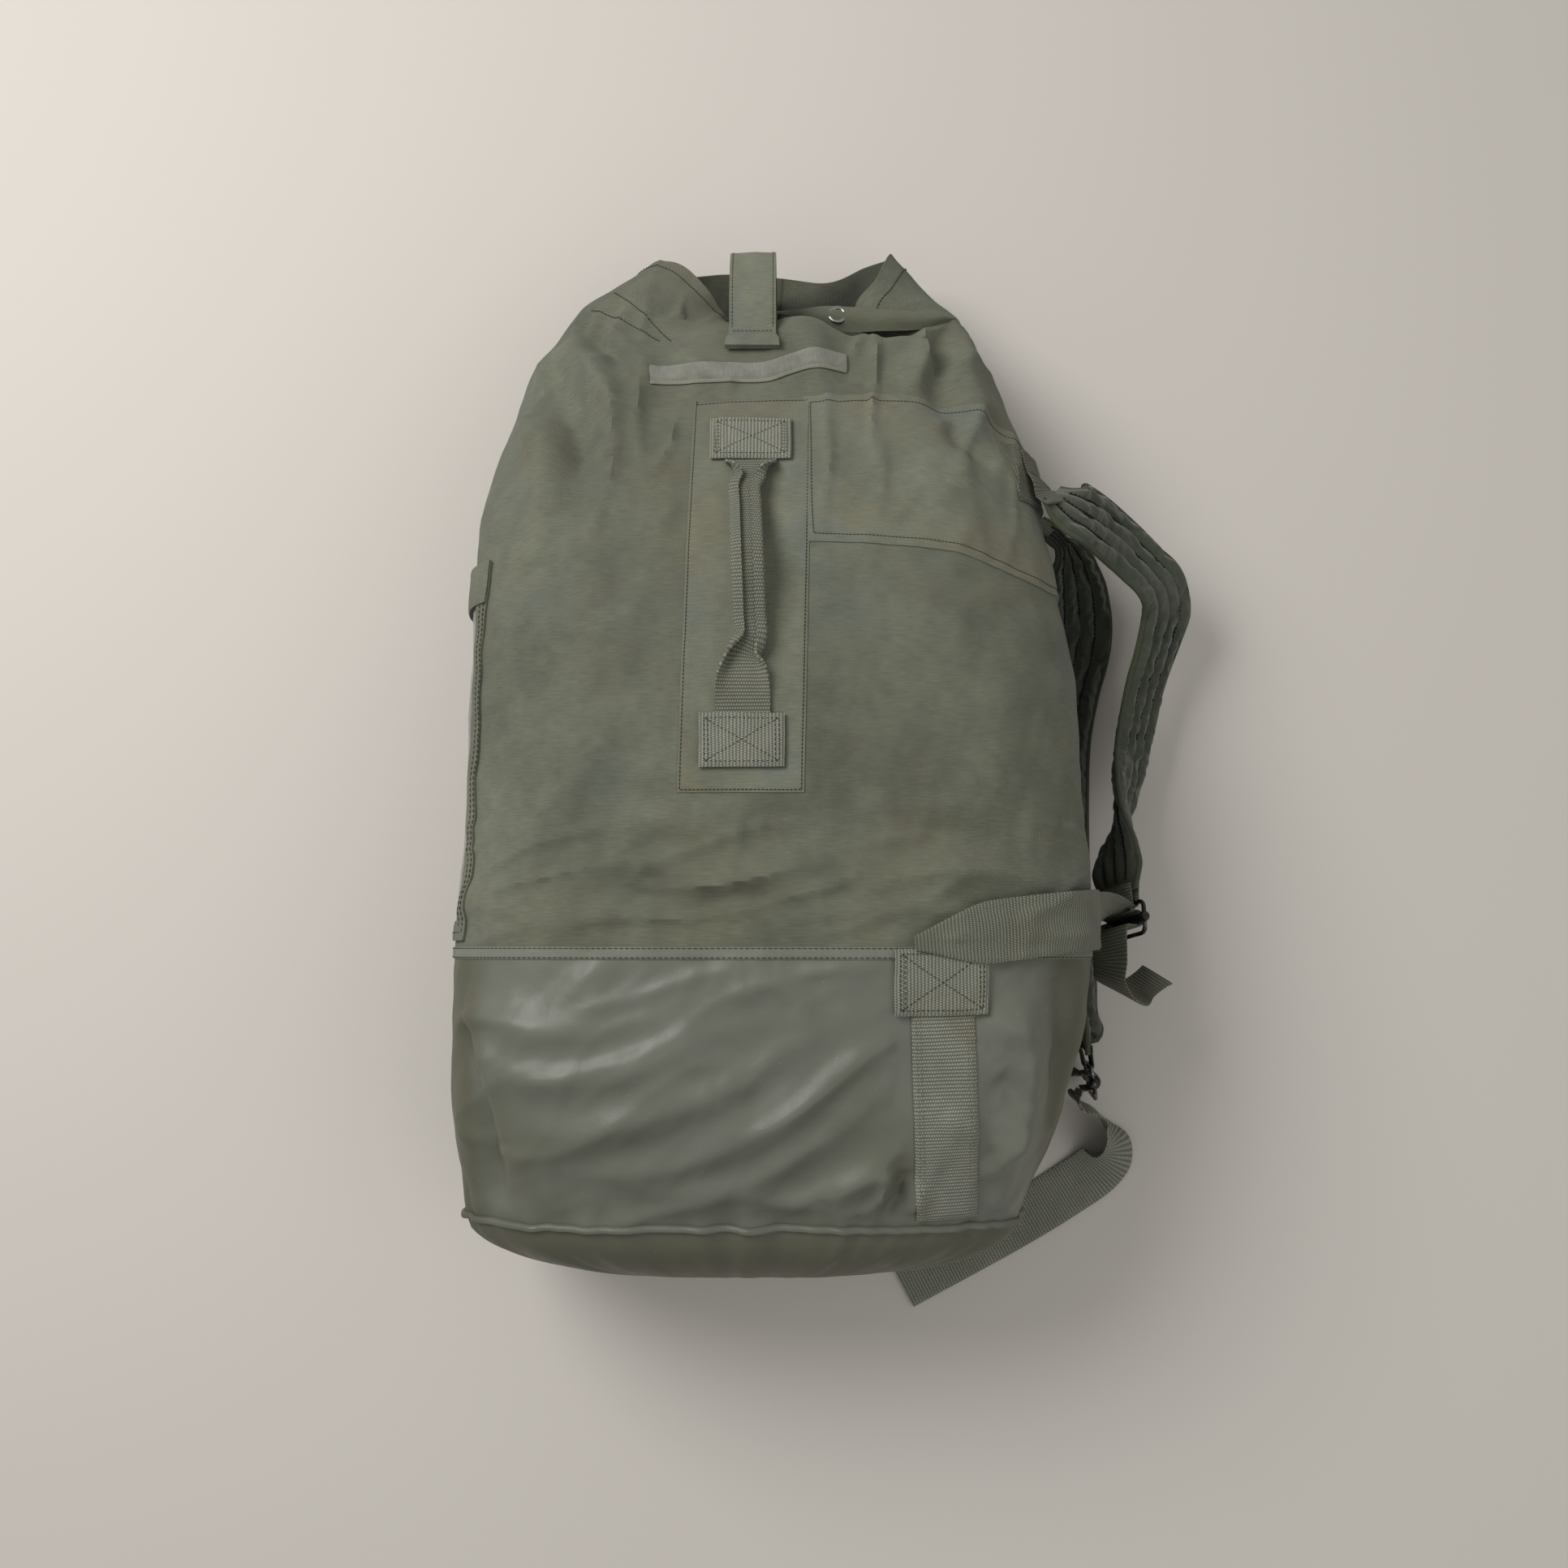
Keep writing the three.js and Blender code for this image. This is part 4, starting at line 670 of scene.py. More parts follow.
def apply_modifier(piece, kind, **settings):
    select_only(piece)
    modifier = piece.modifiers.new(kind.title(), kind)
    for key, value in settings.items():
        setattr(modifier, key, value)
    bpy.ops.object.modifier_apply(modifier=modifier.name)


def edit_all(piece, operator, **settings):
    """Runs one of Blender's mesh operators on the whole of a piece."""
    select_only(piece)
    bpy.ops.object.mode_set(mode="EDIT")
    bpy.ops.mesh.select_all(action="SELECT")
    operator(**settings)
    bpy.ops.object.mode_set(mode="OBJECT")


def cloth_from_grid(name, points, flat, finish, thickness=0.0, closed=False, offset=-1.0):
    """A grid primitive laid on points (millimetres), mapped flat (millimetres), and given its thickness."""
    rows, columns = points.shape[:2]
    bpy.ops.object.select_all(action="DESELECT")
    bpy.ops.mesh.primitive_grid_add(x_subdivisions=columns - 1, y_subdivisions=rows - 1, size=1)
    piece = bpy.context.object
    piece.name = piece.data.name = name
    mesh = piece.data
    mesh.vertices.foreach_set("co", (points * MM).astype(np.float32).ravel())
    layer = mesh.uv_layers[0]
    layer.name = "cloth"
    corner = np.zeros(len(mesh.loops), np.int32)
    mesh.loops.foreach_get("vertex_index", corner)
    layer.data.foreach_set("uv", (flat.reshape(-1, 2)[corner] * MM).astype(np.float32).ravel())
    mesh.update()
    if closed:
        edit_all(piece, bpy.ops.mesh.remove_doubles, threshold=0.00002)
    if thickness:
        apply_modifier(piece, "SOLIDIFY", thickness=thickness * MM, offset=offset, use_even_offset=False)
    select_only(piece)
    bpy.ops.object.shade_smooth_by_angle(angle=math.radians(55))
    piece.data.materials.clear()
    piece.data.materials.append(finish)
    return piece


def recalculate(piece):
    edit_all(piece, bpy.ops.mesh.normals_make_consistent, inside=False)


def in_frame(piece, body, slot, *nodes):
    """The body that the piece rides on, a slot argument that is not used, and the CAD solids it stands for.
    """
    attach(piece, body)
    if nodes:
        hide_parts(*nodes)


def mean_of(row, columns):
    """A row of a grid drawn together at its middle, which closes a tube's end."""
    return row.mean(0)[None].repeat(columns, 0)[None]


def end_closed(ring, flat):
    """A tube's rows and flat map with both ends closed."""
    low, high = mean_of(ring[0], ring.shape[1]), mean_of(ring[-1], ring.shape[1])
    return np.concatenate([low, ring, high]), np.concatenate([flat[:1], flat, flat[-1:]])


def faces_outward(points):
    """Whether a grid's faces point away from the middle of the bag."""
    a, b = points[1:, :-1] - points[:-1, :-1], points[:-1, 1:] - points[:-1, :-1]
    normal = np.cross(b, a).sum((0, 1))
    middle = points.reshape(-1, 3).mean(0)
    return normal @ (middle - inside_at(middle[1])) > 0


def bag_part(name, first, last, finish, thickness, slot, *nodes):
    """The rows of the skin between two places, as one closed-up ring of cloth."""
    picked = np.where((ROWS >= first - 1e-6) & (ROWS <= last + 1e-6))[0]
    from_top = ((TURNS + 0.5) % 1.0 - 0.5)[None] * GIRTH[picked][:, None]
    flat = np.stack(np.broadcast_arrays(from_top, ROWS[picked][:, None]), -1)
    piece = cloth_from_grid(name, SKIN[picked], flat, finish, thickness, closed=True)
    in_frame(piece, "bag", slot, *nodes)
    return piece


boot = bag_part("boot_shell", BASE_SEAM, HEM_LINE, COATED, 2.4, "coated", "boot")
body = bag_part("canvas_shell", HEM_LINE, ROWS[-1], CANVAS, 2.0, "canvas", "canvas_body", "collar")


DOME_REACH = 50


def base_dome():
    """The base panel stands out past its seam, with puckers that run in from the seam."""
    ring, edge = SKIN[0], SKIN[0].mean(0)
    wave = np.array([noise.noise(Vector((t * 46, 7.7, 0.2))) for t in TURNS % 1.0])
    wave[-1] = wave[0]
    rows = []
    for share in np.concatenate([np.linspace(1, 0.75, 14), np.linspace(0.73, 0.02, 26)]):
        bulge = DOME_REACH * math.sqrt(max(0.0, 1 - share**2.6))
        row = edge + (ring - edge) * share
        row[:, 1] = BASE_SEAM - 0.6 - bulge
        row[:, 1] -= 3.0 * wave * share**3 * fade(1 - share, 0.0, 0.08)
        rows.append(row)
    points = np.array(rows)[::-1]
    points[0] = points[0].mean(0)
    lengths = np.linalg.norm(points - points[0].mean(0), axis=-1)
    angle = TURNS * 2 * math.pi
    flat = np.stack([lengths * np.sin(angle), lengths * np.cos(angle)], -1)
    dome = cloth_from_grid("base_dome", points, flat, COATED, 2.4, closed=True)
    in_frame(dome, "bag", "coated", "base_panel")
    return dome


dome = base_dome()

# ---- Laying pieces on the bag -----------------------------------------------------------------------


def tree_of(*things):
    """One search tree over several pieces, in millimetres."""
    verts, faces = [], []
    for piece in things:
        start = len(verts)
        verts += [v.co / MM for v in piece.data.vertices]
        faces += [[start + i for i in p.vertices] for p in piece.data.polygons]
    return BVHTree.FromPolygons(verts, faces)


SKIN_TREE = tree_of(boot, body, dome)


def girth_at(y):
    """The cloth's length round the bag at y."""
    return float(np.interp(y, ROWS[:GIRTH_ROWS], GIRTH[:GIRTH_ROWS]))


def drop(x, y, out=0.0):
    """The place on the top of the bag over (x, y), held out from the cloth."""
    hit, normal, _, _ = SKIN_TREE.ray_cast(Vector((x, y, 400)), Vector((0, 0, -1)))
    if hit is None:
        return np.array([x, y, 0.0])
    a = SKIN_TREE.ray_cast(Vector((x + 5, y, 400)), Vector((0, 0, -1)))[1] or normal
    b = SKIN_TREE.ray_cast(Vector((x - 5, y, 400)), Vector((0, 0, -1)))[1] or normal
    n = (normal + a + b).normalized()
    return np.array(hit + n * out)


def wrap(s, y, out=0.0):
    """The place at cloth length s from the middle of the top, the strap side positive, held out from it."""
    side = section_ring(y, [s / girth_at(y), (s - 8) / girth_at(y), (s + 8) / girth_at(y)])
    up = section_ring(y + 4, [s / girth_at(y + 4)])[0] - section_ring(y - 4, [s / girth_at(y - 4)])[0]
    n = np.cross(up, side[2] - side[1])
    n /= np.linalg.norm(n)
    if n @ (side[0] - inside_at(y)) < 0:
        n = -n
    start = side[0] + n * 30
    hit = SKIN_TREE.ray_cast(Vector(start), Vector(-n))[0]
    return (np.array(hit) if hit is not None and (Vector(hit) - Vector(start)).length < 60
            else side[0]) + n * out


def side_length(y, side=1):
    """Cloth length from the middle of the top to where the section is widest."""
    turns = np.linspace(0.15, 0.35, 81) * side
    ring = section_ring(y, turns)
    return abs(turns[np.argmax(ring[:, 0] * side)]) * girth_at(y)


def sewn_piece(name, places, over, thickness, finish, body_name, node, slot, lay=drop, edge=0.45):
    """A layer of cloth or webbing laid on the bag through a grid of places, thinner at its pressed edge."""
    rows, columns = places.shape[:2]
    j, i = np.meshgrid(np.arange(rows), np.arange(columns), indexing="ij")
    inset = np.minimum(np.minimum(j, rows - 1 - j), np.minimum(i, columns - 1 - i))
    rise = np.where(inset == 0, thickness * edge, thickness)
    top = np.array([[lay(*places[a, b], over + rise[a, b]) for b in range(columns)] for a in range(rows)])
    flat = flat_grid(lengths_along(top[rows // 2]), lengths_along(top[:, columns // 2]))
    if not faces_outward(top):
        top, flat = top[:, ::-1], flat[:, ::-1]
    piece = cloth_from_grid(name, top, flat, finish, thickness + over * 0.8)
    in_frame(piece, body_name, slot, *([node] if node else []))


def spread_grid(edge_a, edge_b, step=3.0):
    """A grid of places between two facing edges, each a list of (first, second) places."""
    a, b = np.array(edge_a, float), np.array(edge_b, float)

    def spaced(path, count):
        length = lengths_along(path)
        straight = len(path) == 2
        return np.linspace(*path, count) if straight else curve(length, path,
                                                                np.linspace(0, length[-1], count))
    long = max(np.linalg.norm(np.diff(a, axis=0), axis=1).sum(),
               np.linalg.norm(np.diff(b, axis=0), axis=1).sum())
    count = max(4, int(long / step) + 1)
    a, b = spaced(a, count), spaced(b, count)
    across = max(4, int(np.linalg.norm(a - b, axis=1).max() / step) + 1)
    return a[:, None] + (b - a)[:, None] * np.linspace(0, 1, across)[None, :, None]


# ---- Strips of webbing ------------------------------------------------------------------------------


def unit(v):
    return v / np.maximum(np.linalg.norm(v, axis=-1, keepdims=True), 1e-9)


def route(keys, count):
    """Places, ways across and ways out of the face, evenly spaced along keys of (place, way across)."""
    at, across = np.array([k[0] for k in keys], float), np.array([k[1] for k in keys], float)
    length = lengths_along(at)
    want = np.linspace(0, length[-1], count)
    place, way = curve(length, at, want), curve(length, across, want)
    forward = unit(np.gradient(place, axis=0))
    way = unit(way - forward * (way * forward).sum(-1, keepdims=True))
    return place, way, np.cross(way, forward), want


def webbing_strip(name, keys, width, thickness, finish, node=None, body_name=None, step=1.8):
    """A closed strip of webbing along its keys, with rounded selvedges."""
    length = np.linalg.norm(np.diff(np.array([k[0] for k in keys], float), axis=0), axis=1).sum()
    count = max(8, int(length / step))
    place, way, face, want = route(keys, count)
    across = np.sin(np.linspace(-math.pi / 2, math.pi / 2, 11)) * 0.5
    half = thickness / 2 * np.sqrt(np.clip(1 - (np.abs(across) * 2) ** 10, 0.05, 1))
    top = place[:, None] + way[:, None] * across[None, :, None] * width
    top = top + face[:, None] * half[None, :, None]
    under = top - 2 * face[:, None] * half[None, :, None]
    ring = np.concatenate([top, under[:, ::-1], top[:, :1]], 1)
    flat = flat_grid(np.concatenate([across, across[::-1], across[:1]]) * width, want)
    piece = cloth_from_grid(name, *end_closed(ring, flat), finish, closed=True)
    recalculate(piece)
    if node:
        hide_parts(node)
    if body_name:
        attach(piece, body_name)
    return piece


# ---- Stitching --------------------------------------------------------------------------------------


def stitch_shape():
    """One stitch along +X: a short fat thread that dips into the cloth at both ends."""
    bpy.ops.object.select_all(action="DESELECT")
    bpy.ops.mesh.primitive_cylinder_add(vertices=6, radius=0.5, depth=1.0, rotation=(0, math.pi / 2, 0),
                                        end_fill_type="TRIFAN")
    thread = bpy.context.object
    bpy.ops.object.transform_apply(location=True, rotation=True, scale=True)
    edit_all(thread, bpy.ops.mesh.bisect, plane_co=(0, 0, 0), plane_no=(1, 0, 0))
    points = np.array([v.co for v in thread.data.vertices])
    faces = [list(p.vertices) for p in thread.data.polygons]
    bpy.data.objects.remove(thread)
    ends = np.abs(points[:, 0]) > 0.4
    points[ends, 1:] *= 0.55
    points[ends, 2] -= 0.45
    return points, faces


STITCH_POINTS, STITCH_FACES = stitch_shape()


def stitches(name, lines, finish, body_name, slot, long=3.0, gap=1.1, fat=0.9):
    """Rows of stitches. Each line is a list of [place on the surface, way out]."""
    verts, faces = [], []
    for line in lines:
        at, out = np.array([p[0] for p in line], float), unit(np.array([p[1] for p in line], float))
        length = lengths_along(at)
        count = max(1, int(length[-1] / (long + gap)))
        middles = (np.arange(count) + 0.5) * length[-1] / count
        place = between_places(middles, length, at)
        ahead, behind = (between_places(middles + half, length, at) for half in (long / 2, -long / 2))
        up = unit(between_places(middles, length, out))
        forward = unit(ahead - behind)
        up = unit(up - forward * (up * forward).sum(-1, keepdims=True))
        side = np.cross(up, forward)
        for k in range(count):
            start = len(verts)
            lengthways = forward[k] * (STITCH_POINTS[:, :1] * long)
            sideways = side[k] * (STITCH_POINTS[:, 1:2] * fat)
            raised = up[k] * (STITCH_POINTS[:, 2:3] * fat + 0.12)
            verts += list(place[k] + lengthways + sideways + raised)
            faces += [[start + i for i in f] for f in STITCH_FACES]
    mesh = bpy.data.meshes.new(name)
    mesh.from_pydata([tuple(v * MM) for v in verts], [], faces)
    mesh.uv_layers.new(name="cloth")
    mesh.validate()
    piece = bpy.data.objects.new(name, mesh)
    scene.collection.objects.link(piece)
    piece.data.materials.append(finish)
    select_only(piece)
    bpy.ops.object.shade_smooth()
    in_frame(piece, body_name, slot)


def laid_line(path, out, lay, step):
    """A stitch line laid on the bag through the places of a path."""
    path = np.array(path, float)
    length = lengths_along(path)
    want = np.linspace(0, length[-1], max(2, int(length[-1] / step)))
    fine = between_places(want, length, path)
    low, high = np.array([lay(*p, out) for p in fine]), np.array([lay(*p, out + 3) for p in fine])
    return list(zip(low, high - low))


def on_top(path, out):
    """A stitch line through places (x, y) on the top of the bag."""
    return laid_line(path, out, drop, 2.0)


def round_bag(path, out):
    """A stitch line through places (length round, along) on the bag."""
    return laid_line(path, out, wrap, 3.0)


def ring_line(y, out):
    """A stitch line right round the bag at one of the skin's rows."""
    row = int(np.argmin(np.abs(ROWS - y)))
    normal = BASE_OUT[row]
    return list(zip(SKIN[row] + normal * out, normal))


# ---- Reading the frame's straps ---------------------------------------------------------------------


def middle_of(name):
    """The middle of a CAD node's box, in metres."""
    low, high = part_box(name)
    return (Vector(low) + Vector(high)) / 2


def swept(name, near):
    """The sections of a CAD strap: rings of its corners in metres, from the end nearest to a place."""
    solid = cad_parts[name]
    form = bmesh.new()
    form.from_mesh(solid.data)
    form.transform(solid.matrix_world)
    bmesh.ops.remove_doubles(form, verts=form.verts, dist=0.01 * MM)
    form.faces.ensure_lookup_table()
    ends = []
    seen = set()
    for first in form.faces:
        if first in seen:
            continue
        flat = {first}
        grow = [first]
        while grow:
            face = grow.pop()
            for other in (o for e in face.edges for o in e.link_faces if o not in flat):
                level = abs((other.calc_center_median() - first.verts[0].co).dot(first.normal))
                if other.normal.dot(first.normal) > 0.99999 and level < 0.01 * MM:
                    flat.add(other)
                    grow.append(other)
        seen |= flat
        levels = [{v for face in flat for v in face.verts}]
        used = set(levels[0])
        while levels[-1]:
            levels.append({e.other_vert(v) for v in levels[-1] for e in v.link_edges} - used)
            used |= levels[-1]
        levels.pop()
        if len(levels) > 2 and len({len(level) for level in levels}) == 1:
            ends.append([np.array([v.co for v in level]) for level in levels])
    form.free()
    return min(ends, key=lambda rings: (Vector(rings[0].mean(0)) - Vector(near)).length)


def centre_line(rings, outward):
    """Keys along a strap: the middle of each ring in millimetres and the way across it, outward at first."""
    keys = []
    way = np.array(outward, float)
    for ring in rings:
        middle = ring.mean(0)
        across = np.linalg.svd(ring - middle)[2][0]
        way = across if across @ way > 0 else -across
        keys.append((middle / MM, way))
    return keys


# ---- Hem and piping ---------------------------------------------------------------------------------


HEM_THICK = 1.2


def hem_band():
    """A band round the bag over the skin at the hem line, thinner at its two edges."""
    want = np.linspace(HEM_LINE - 4.5, HEM_LINE + 4.5, 6)
    picked = []
    for y in want:
        k = int(np.clip(np.searchsorted(ROWS, y) - 1, 0, len(ROWS) - 2))
        t = (y - ROWS[k]) / (ROWS[k + 1] - ROWS[k])
        inset = 0.5 if y in (want[0], want[-1]) else 1.0
        skin, out = (rows[k] * (1 - t) + rows[k + 1] * t for rows in (SKIN, BASE_OUT))
        picked.append(skin + out * (0.2 + HEM_THICK * inset))
    points = np.array(picked)
    points[..., 2] = np.maximum(points[..., 2], 0.2)
    flat = flat_grid(TURNS * ROUND_HEM, want)
    piece = cloth_from_grid("hem_band", points, flat, HEM, HEM_THICK, closed=True)
    in_frame(piece, "bag", "hem_tape", "boot_hem")


hem_band()
stitches("hem_stitches", [ring_line(HEM_LINE + 2, 1.6), ring_line(HEM_LINE - 2, 1.6)], THREAD, "bag",
         "hem_tape", fat=0.7)


def base_piping():
    """A cord of coated cloth sewn in round the base seam."""
    ring, out = SKIN[0], BASE_OUT[0]
    turn = np.linspace(0, 2 * math.pi, 9)
    rows = [ring + out * (1.2 + 2.6 * math.cos(a)) + np.array([0, -1, 0]) * (1.0 + 2.6 * math.sin(a))
            for a in turn]
    points = np.array(rows)
    points[..., 2] = np.maximum(points[..., 2], 0.2)
    flat = flat_grid(TURNS * ROUND_SEAM, turn * 2.6)
    piece = cloth_from_grid("base_cord", points, flat, COATED, closed=True)
    recalculate(piece)
    in_frame(piece, "bag", "coated", "base_piping")


base_piping()

# ---- Handle -----------------------------------------------------------------------------------------


HANDLE_X, HANDLE_LEAN = -21, 0.022


def handle_x(y):
    """The handle leans a little from the bag's length."""
    return HANDLE_X + HANDLE_LEAN * (y + 10)


def handle_edge(side, half, y0, y1):
    return [(handle_x(y) + side * half, y) for y in np.linspace(y0, y1, 8)]


panel_grid = spread_grid(handle_edge(-1, 46, -28, 286), handle_edge(1, 46, -28, 292))
sewn_piece("handle_backing", panel_grid, 0.3, 1.1, PATCH, "bag", "handle_panel", "canvas")
panel_edges = [on_top(handle_edge(s, 44, -26, 288), 1.4) for s in (-1, 1)]
panel_edges += [on_top([handle_edge(-1, 44, 284, 286)[0], handle_edge(1, 44, 290, 290)[0]], 1.4),
                on_top([handle_edge(-1, 44, -26, -20)[0], handle_edge(1, 44, -26, -20)[0]], 1.4)]
stitches("backing_stitches", panel_edges, THREAD, "bag", "canvas", long=2.4, gap=0.5, fat=0.9)


def box_cross(corner_a, corner_b, out):
    """Box-and-cross stitching inside a patch, with double rows at its two long ends."""
    (x0, y0), (x1, y1) = corner_a, corner_b
    x0, y0, x1, y1 = x0 + 4, y0 + 4, x1 - 4, y1 - 4
    paths = ([(x0, y0), (x1, y0)], [(x1, y0), (x1, y1)], [(x1, y1), (x0, y1)], [(x0, y1), (x0, y0)],
             [(x0, y0), (x1, y1)], [(x0, y1), (x1, y0)],
             [(x0 + 3, y0), (x0 + 3, y1)], [(x1 - 3, y0), (x1 - 3, y1)])
    return [on_top(path, out) for path in paths]


def handle_anchor(name, node, y0, y1):
    x = handle_x((y0 + y1) / 2)
    grid = spread_grid([(x - 31, y0), (x - 31, y1)], [(x + 31, y0), (x + 31, y1)], 2.5)
    # its ribs run along the bag, so the webbing's own length runs across
    sewn_piece(name, np.transpose(grid, (1, 0, 2)), 3.6, 2.0, PALE_WEB, "bag", node, "webbing")
    crossed = box_cross((x - 31, y0), (x + 31, y1), 5.6)
    stitches(name + "_stitches", crossed, THREAD, "bag", "webbing", long=2.4, gap=0.8, fat=0.8)


handle_anchor("lower_handle_anchor", "handle_anchor_lower", -10, 30)
handle_anchor("upper_handle_anchor", "handle_anchor_upper", 232, 268.6)


HANDLE_WEB = 40.0  # the handle's webbing laid flat
FLAT_HALF, BEND_LENGTH = 9.8, 4.2  # half of the part left flat, and the cloth taken up by each bend


def folded_section(fold):
    """The webbing's section with its two edges turned over: fold is 0 when flat and 1 when folded shut."""
    w = np.linspace(0, HANDLE_WEB / 2, 17)
    bend = np.clip((w - FLAT_HALF) / BEND_LENGTH, 0, 1) * fold * math.radians(168)
    dx = np.diff(w)
    middle = (bend[1:] + bend[:-1]) / 2
    x = np.concatenate([[0], np.cumsum(np.cos(middle) * dx)])
    z = np.concatenate([[0], np.cumsum(np.sin(middle) * dx)])
    return np.concatenate([-x[:0:-1], x]), np.concatenate([z[:0:-1], z]), np.concatenate([-w[:0:-1], w])


GRIP_RINGS = swept("handle_grip", middle_of("handle_anchor_lower"))
HOLD_LOW, HOLD_HIGH = (GRIP_RINGS[k].mean(0) / MM for k in (0, -1))


def handle_line():
    """The handle from one anchor to the other: places, folding and the face's way out."""
    up = unit(np.cross(HOLD_HIGH - HOLD_LOW, np.array([-1.0, 0, 0])))
    keys = []
    for y, lift, fold in ((22, 3.0, 0), (30, 3.2, 0), (44, 4.4, 0.05), (56, 6.2, 0.22), (70, 8.6, 0.6)):
        keys.append((drop(handle_x(y), y, lift), fold))
    for u in np.linspace(0, 1, 9):
        raised = up * 16 * math.sin(math.pi * u) ** 2
        keys.append((HOLD_LOW + (HOLD_HIGH - HOLD_LOW) * u + raised, 0.94 if u < 0.03 else 1))
    for y, lift, fold in ((214, 8.2, 0.9), (221, 6.4, 0.5), (228, 4.6, 0.12), (234, 3.2, 0), (246, 3.0, 0)):
        keys.append((drop(handle_x(y), y, lift), fold))
    return keys


def handle_pieces():
    keys = handle_line()
    at, folds = np.array([k[0] for k in keys]), np.array([k[1] for k in keys])
    length = lengths_along(at)
    want = np.arange(0, length[-1], 1.6)
    place, fold = curve(length, at, want), np.clip(curve(length, folds, want), 0, 1)
    forward = unit(np.gradient(place, axis=0))
    way = unit(np.array([1.0, 0.02, 0]) - forward * (forward @ np.array([1.0, 0.02, 0]))[:, None])
    face = np.cross(way, forward)
    rows, flats = [], []
    for k in range(len(want)):
        x, z, w = folded_section(float(fold[k]))
        rows.append(place[k] + way[k] * x[:, None] + face[k] * (z[:, None] - 1.2))
        flats.append(np.stack([w, np.full_like(w, want[k])], -1))
    points, flat = np.array(rows), np.array(flats)
    ys = place[:, 1]
    for name, part, node, ends in (
            ("handle_low_end", ys <= HOLD_LOW[1] + 1.5, "handle_root_lower",
             (drop(handle_x(32), 32) * MM, HOLD_LOW * MM)),
            ("handle_hold", (ys >= HOLD_LOW[1]) & (ys <= HOLD_HIGH[1] + 0.6), "handle_grip", None),
            ("handle_high_end", ys >= HOLD_HIGH[1] - 1, "handle_root_upper",
             (drop(handle_x(232), 232) * MM, HOLD_HIGH * MM))):
        picked = np.where(part)[0]
        piece = cloth_from_grid(name, points[picked], flat[picked], WEB, 1.9, offset=0.0)
        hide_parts(node)
        if ends:
            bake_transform(piece)
        else:
            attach(piece, "handle")


handle_pieces()

# ---- Name tape, patches and yoke --------------------------------------------------------------------

tape_top = [(-97, 320), (-80, 321), (-65, 321.5), (-33, 323), (0, 325), (14, 331), (30, 336), (60, 334)]
tape_low = [(-96, 305), (-80, 305.5), (-65, 306), (-33, 307), (0, 309), (14, 315), (30, 320), (60, 319)]
sewn_piece("loop_strip", spread_grid(tape_low, tape_top, 2.2), 0.6, 2.0, TAPE, "bag", "name_tape",
           "loop_tape", edge=0.6)
tape_under = [(x, y - 2.2) for x, y in tape_low]
sewn_piece("loop_strip_edge", spread_grid(tape_under, [(x, y + 1.5) for x, y in tape_low], 1.3), 0.5, 1.6,
           TAPE_EDGE, "bag", None, "loop_tape")

SIDE_LOW, SIDE_HIGH = 163.0, 294.0


def patch_along(s, y):
    """Where the patch's row y runs at cloth length s: bowed beside the handle, lower round the side."""
    bow = 6 * math.sin(math.pi * min(1, max(0, (s - 60) / 190))) * (1 if y > 220 else -0.4)
    return y + bow - 26 * fade(np.array(s), 100, 240) * (1 - abs(s - 240) / 700)


def side_patch():
    """The patch under the yoke, from beside the handle round the strap side to the same place below."""
    rows = []
    for y in np.linspace(SIDE_LOW, SIDE_HIGH, 44):
        end = 2 * side_length(y) - 40
        rows.append([(s, patch_along(s, y)) for s in np.linspace(32, end, 150)])
    return np.array(rows)


patch_places = side_patch()
sewn_piece("strap_side_backing", patch_places, 0.4, 1.1, PATCH, "bag", "strap_side_patch", "canvas",
           lay=wrap)
inner = patch_places[2:-2, 2:-2]
backing_lines = [[(wrap(*p, 1.7), wrap(*p, 4.7) - wrap(*p, 1.7)) for p in row]
                 for row in (inner[0], inner[-1], inner[:, 0])]
stitches("side_backing_stitches", backing_lines, THREAD, "bag", "canvas", long=2.4, gap=0.5, fat=0.9)

STRAPS_APART = 76.0
yoke_rows = np.array([[(side_length(y) + w, y) for w in np.linspace(-STRAPS_APART, STRAPS_APART, 60)]
                      for y in np.linspace(212, 264, 22)])
sewn_piece("yoke_webbing", np.transpose(yoke_rows, (1, 0, 2)), 1.8, 2.2, DARK_WEB, "bag", "strap_yoke",
           "webbing", lay=wrap)
yoke_mid = side_length(238)
stitches("yoke_stitches", [round_bag(p, 4.1) for p in (
    [(yoke_mid - 72, 215), (yoke_mid + 72, 215)], [(yoke_mid - 72, 261), (yoke_mid + 72, 261)],
    [(yoke_mid - 72, 216), (yoke_mid - 72, 260)], [(yoke_mid + 72, 216), (yoke_mid + 72, 260)])],
    PALE_THREAD, "bag", "webbing")

# ---- Window pocket ----------------------------------------------------------------------------------


POCKET_LOW, POCKET_HIGH, POCKET_HALF = -134, 160, 78


def pocket_places(y0, y1, inset, rows, columns):
    """A grid round the window side, about where the bag is widest."""
    out = []
    for y in np.linspace(y0 + inset, y1 - inset, rows):
        middle, reach = -side_length(y, -1), POCKET_HALF - inset
        out.append([(middle + w, y) for w in np.linspace(-reach, reach, columns)])
    return np.array(out)


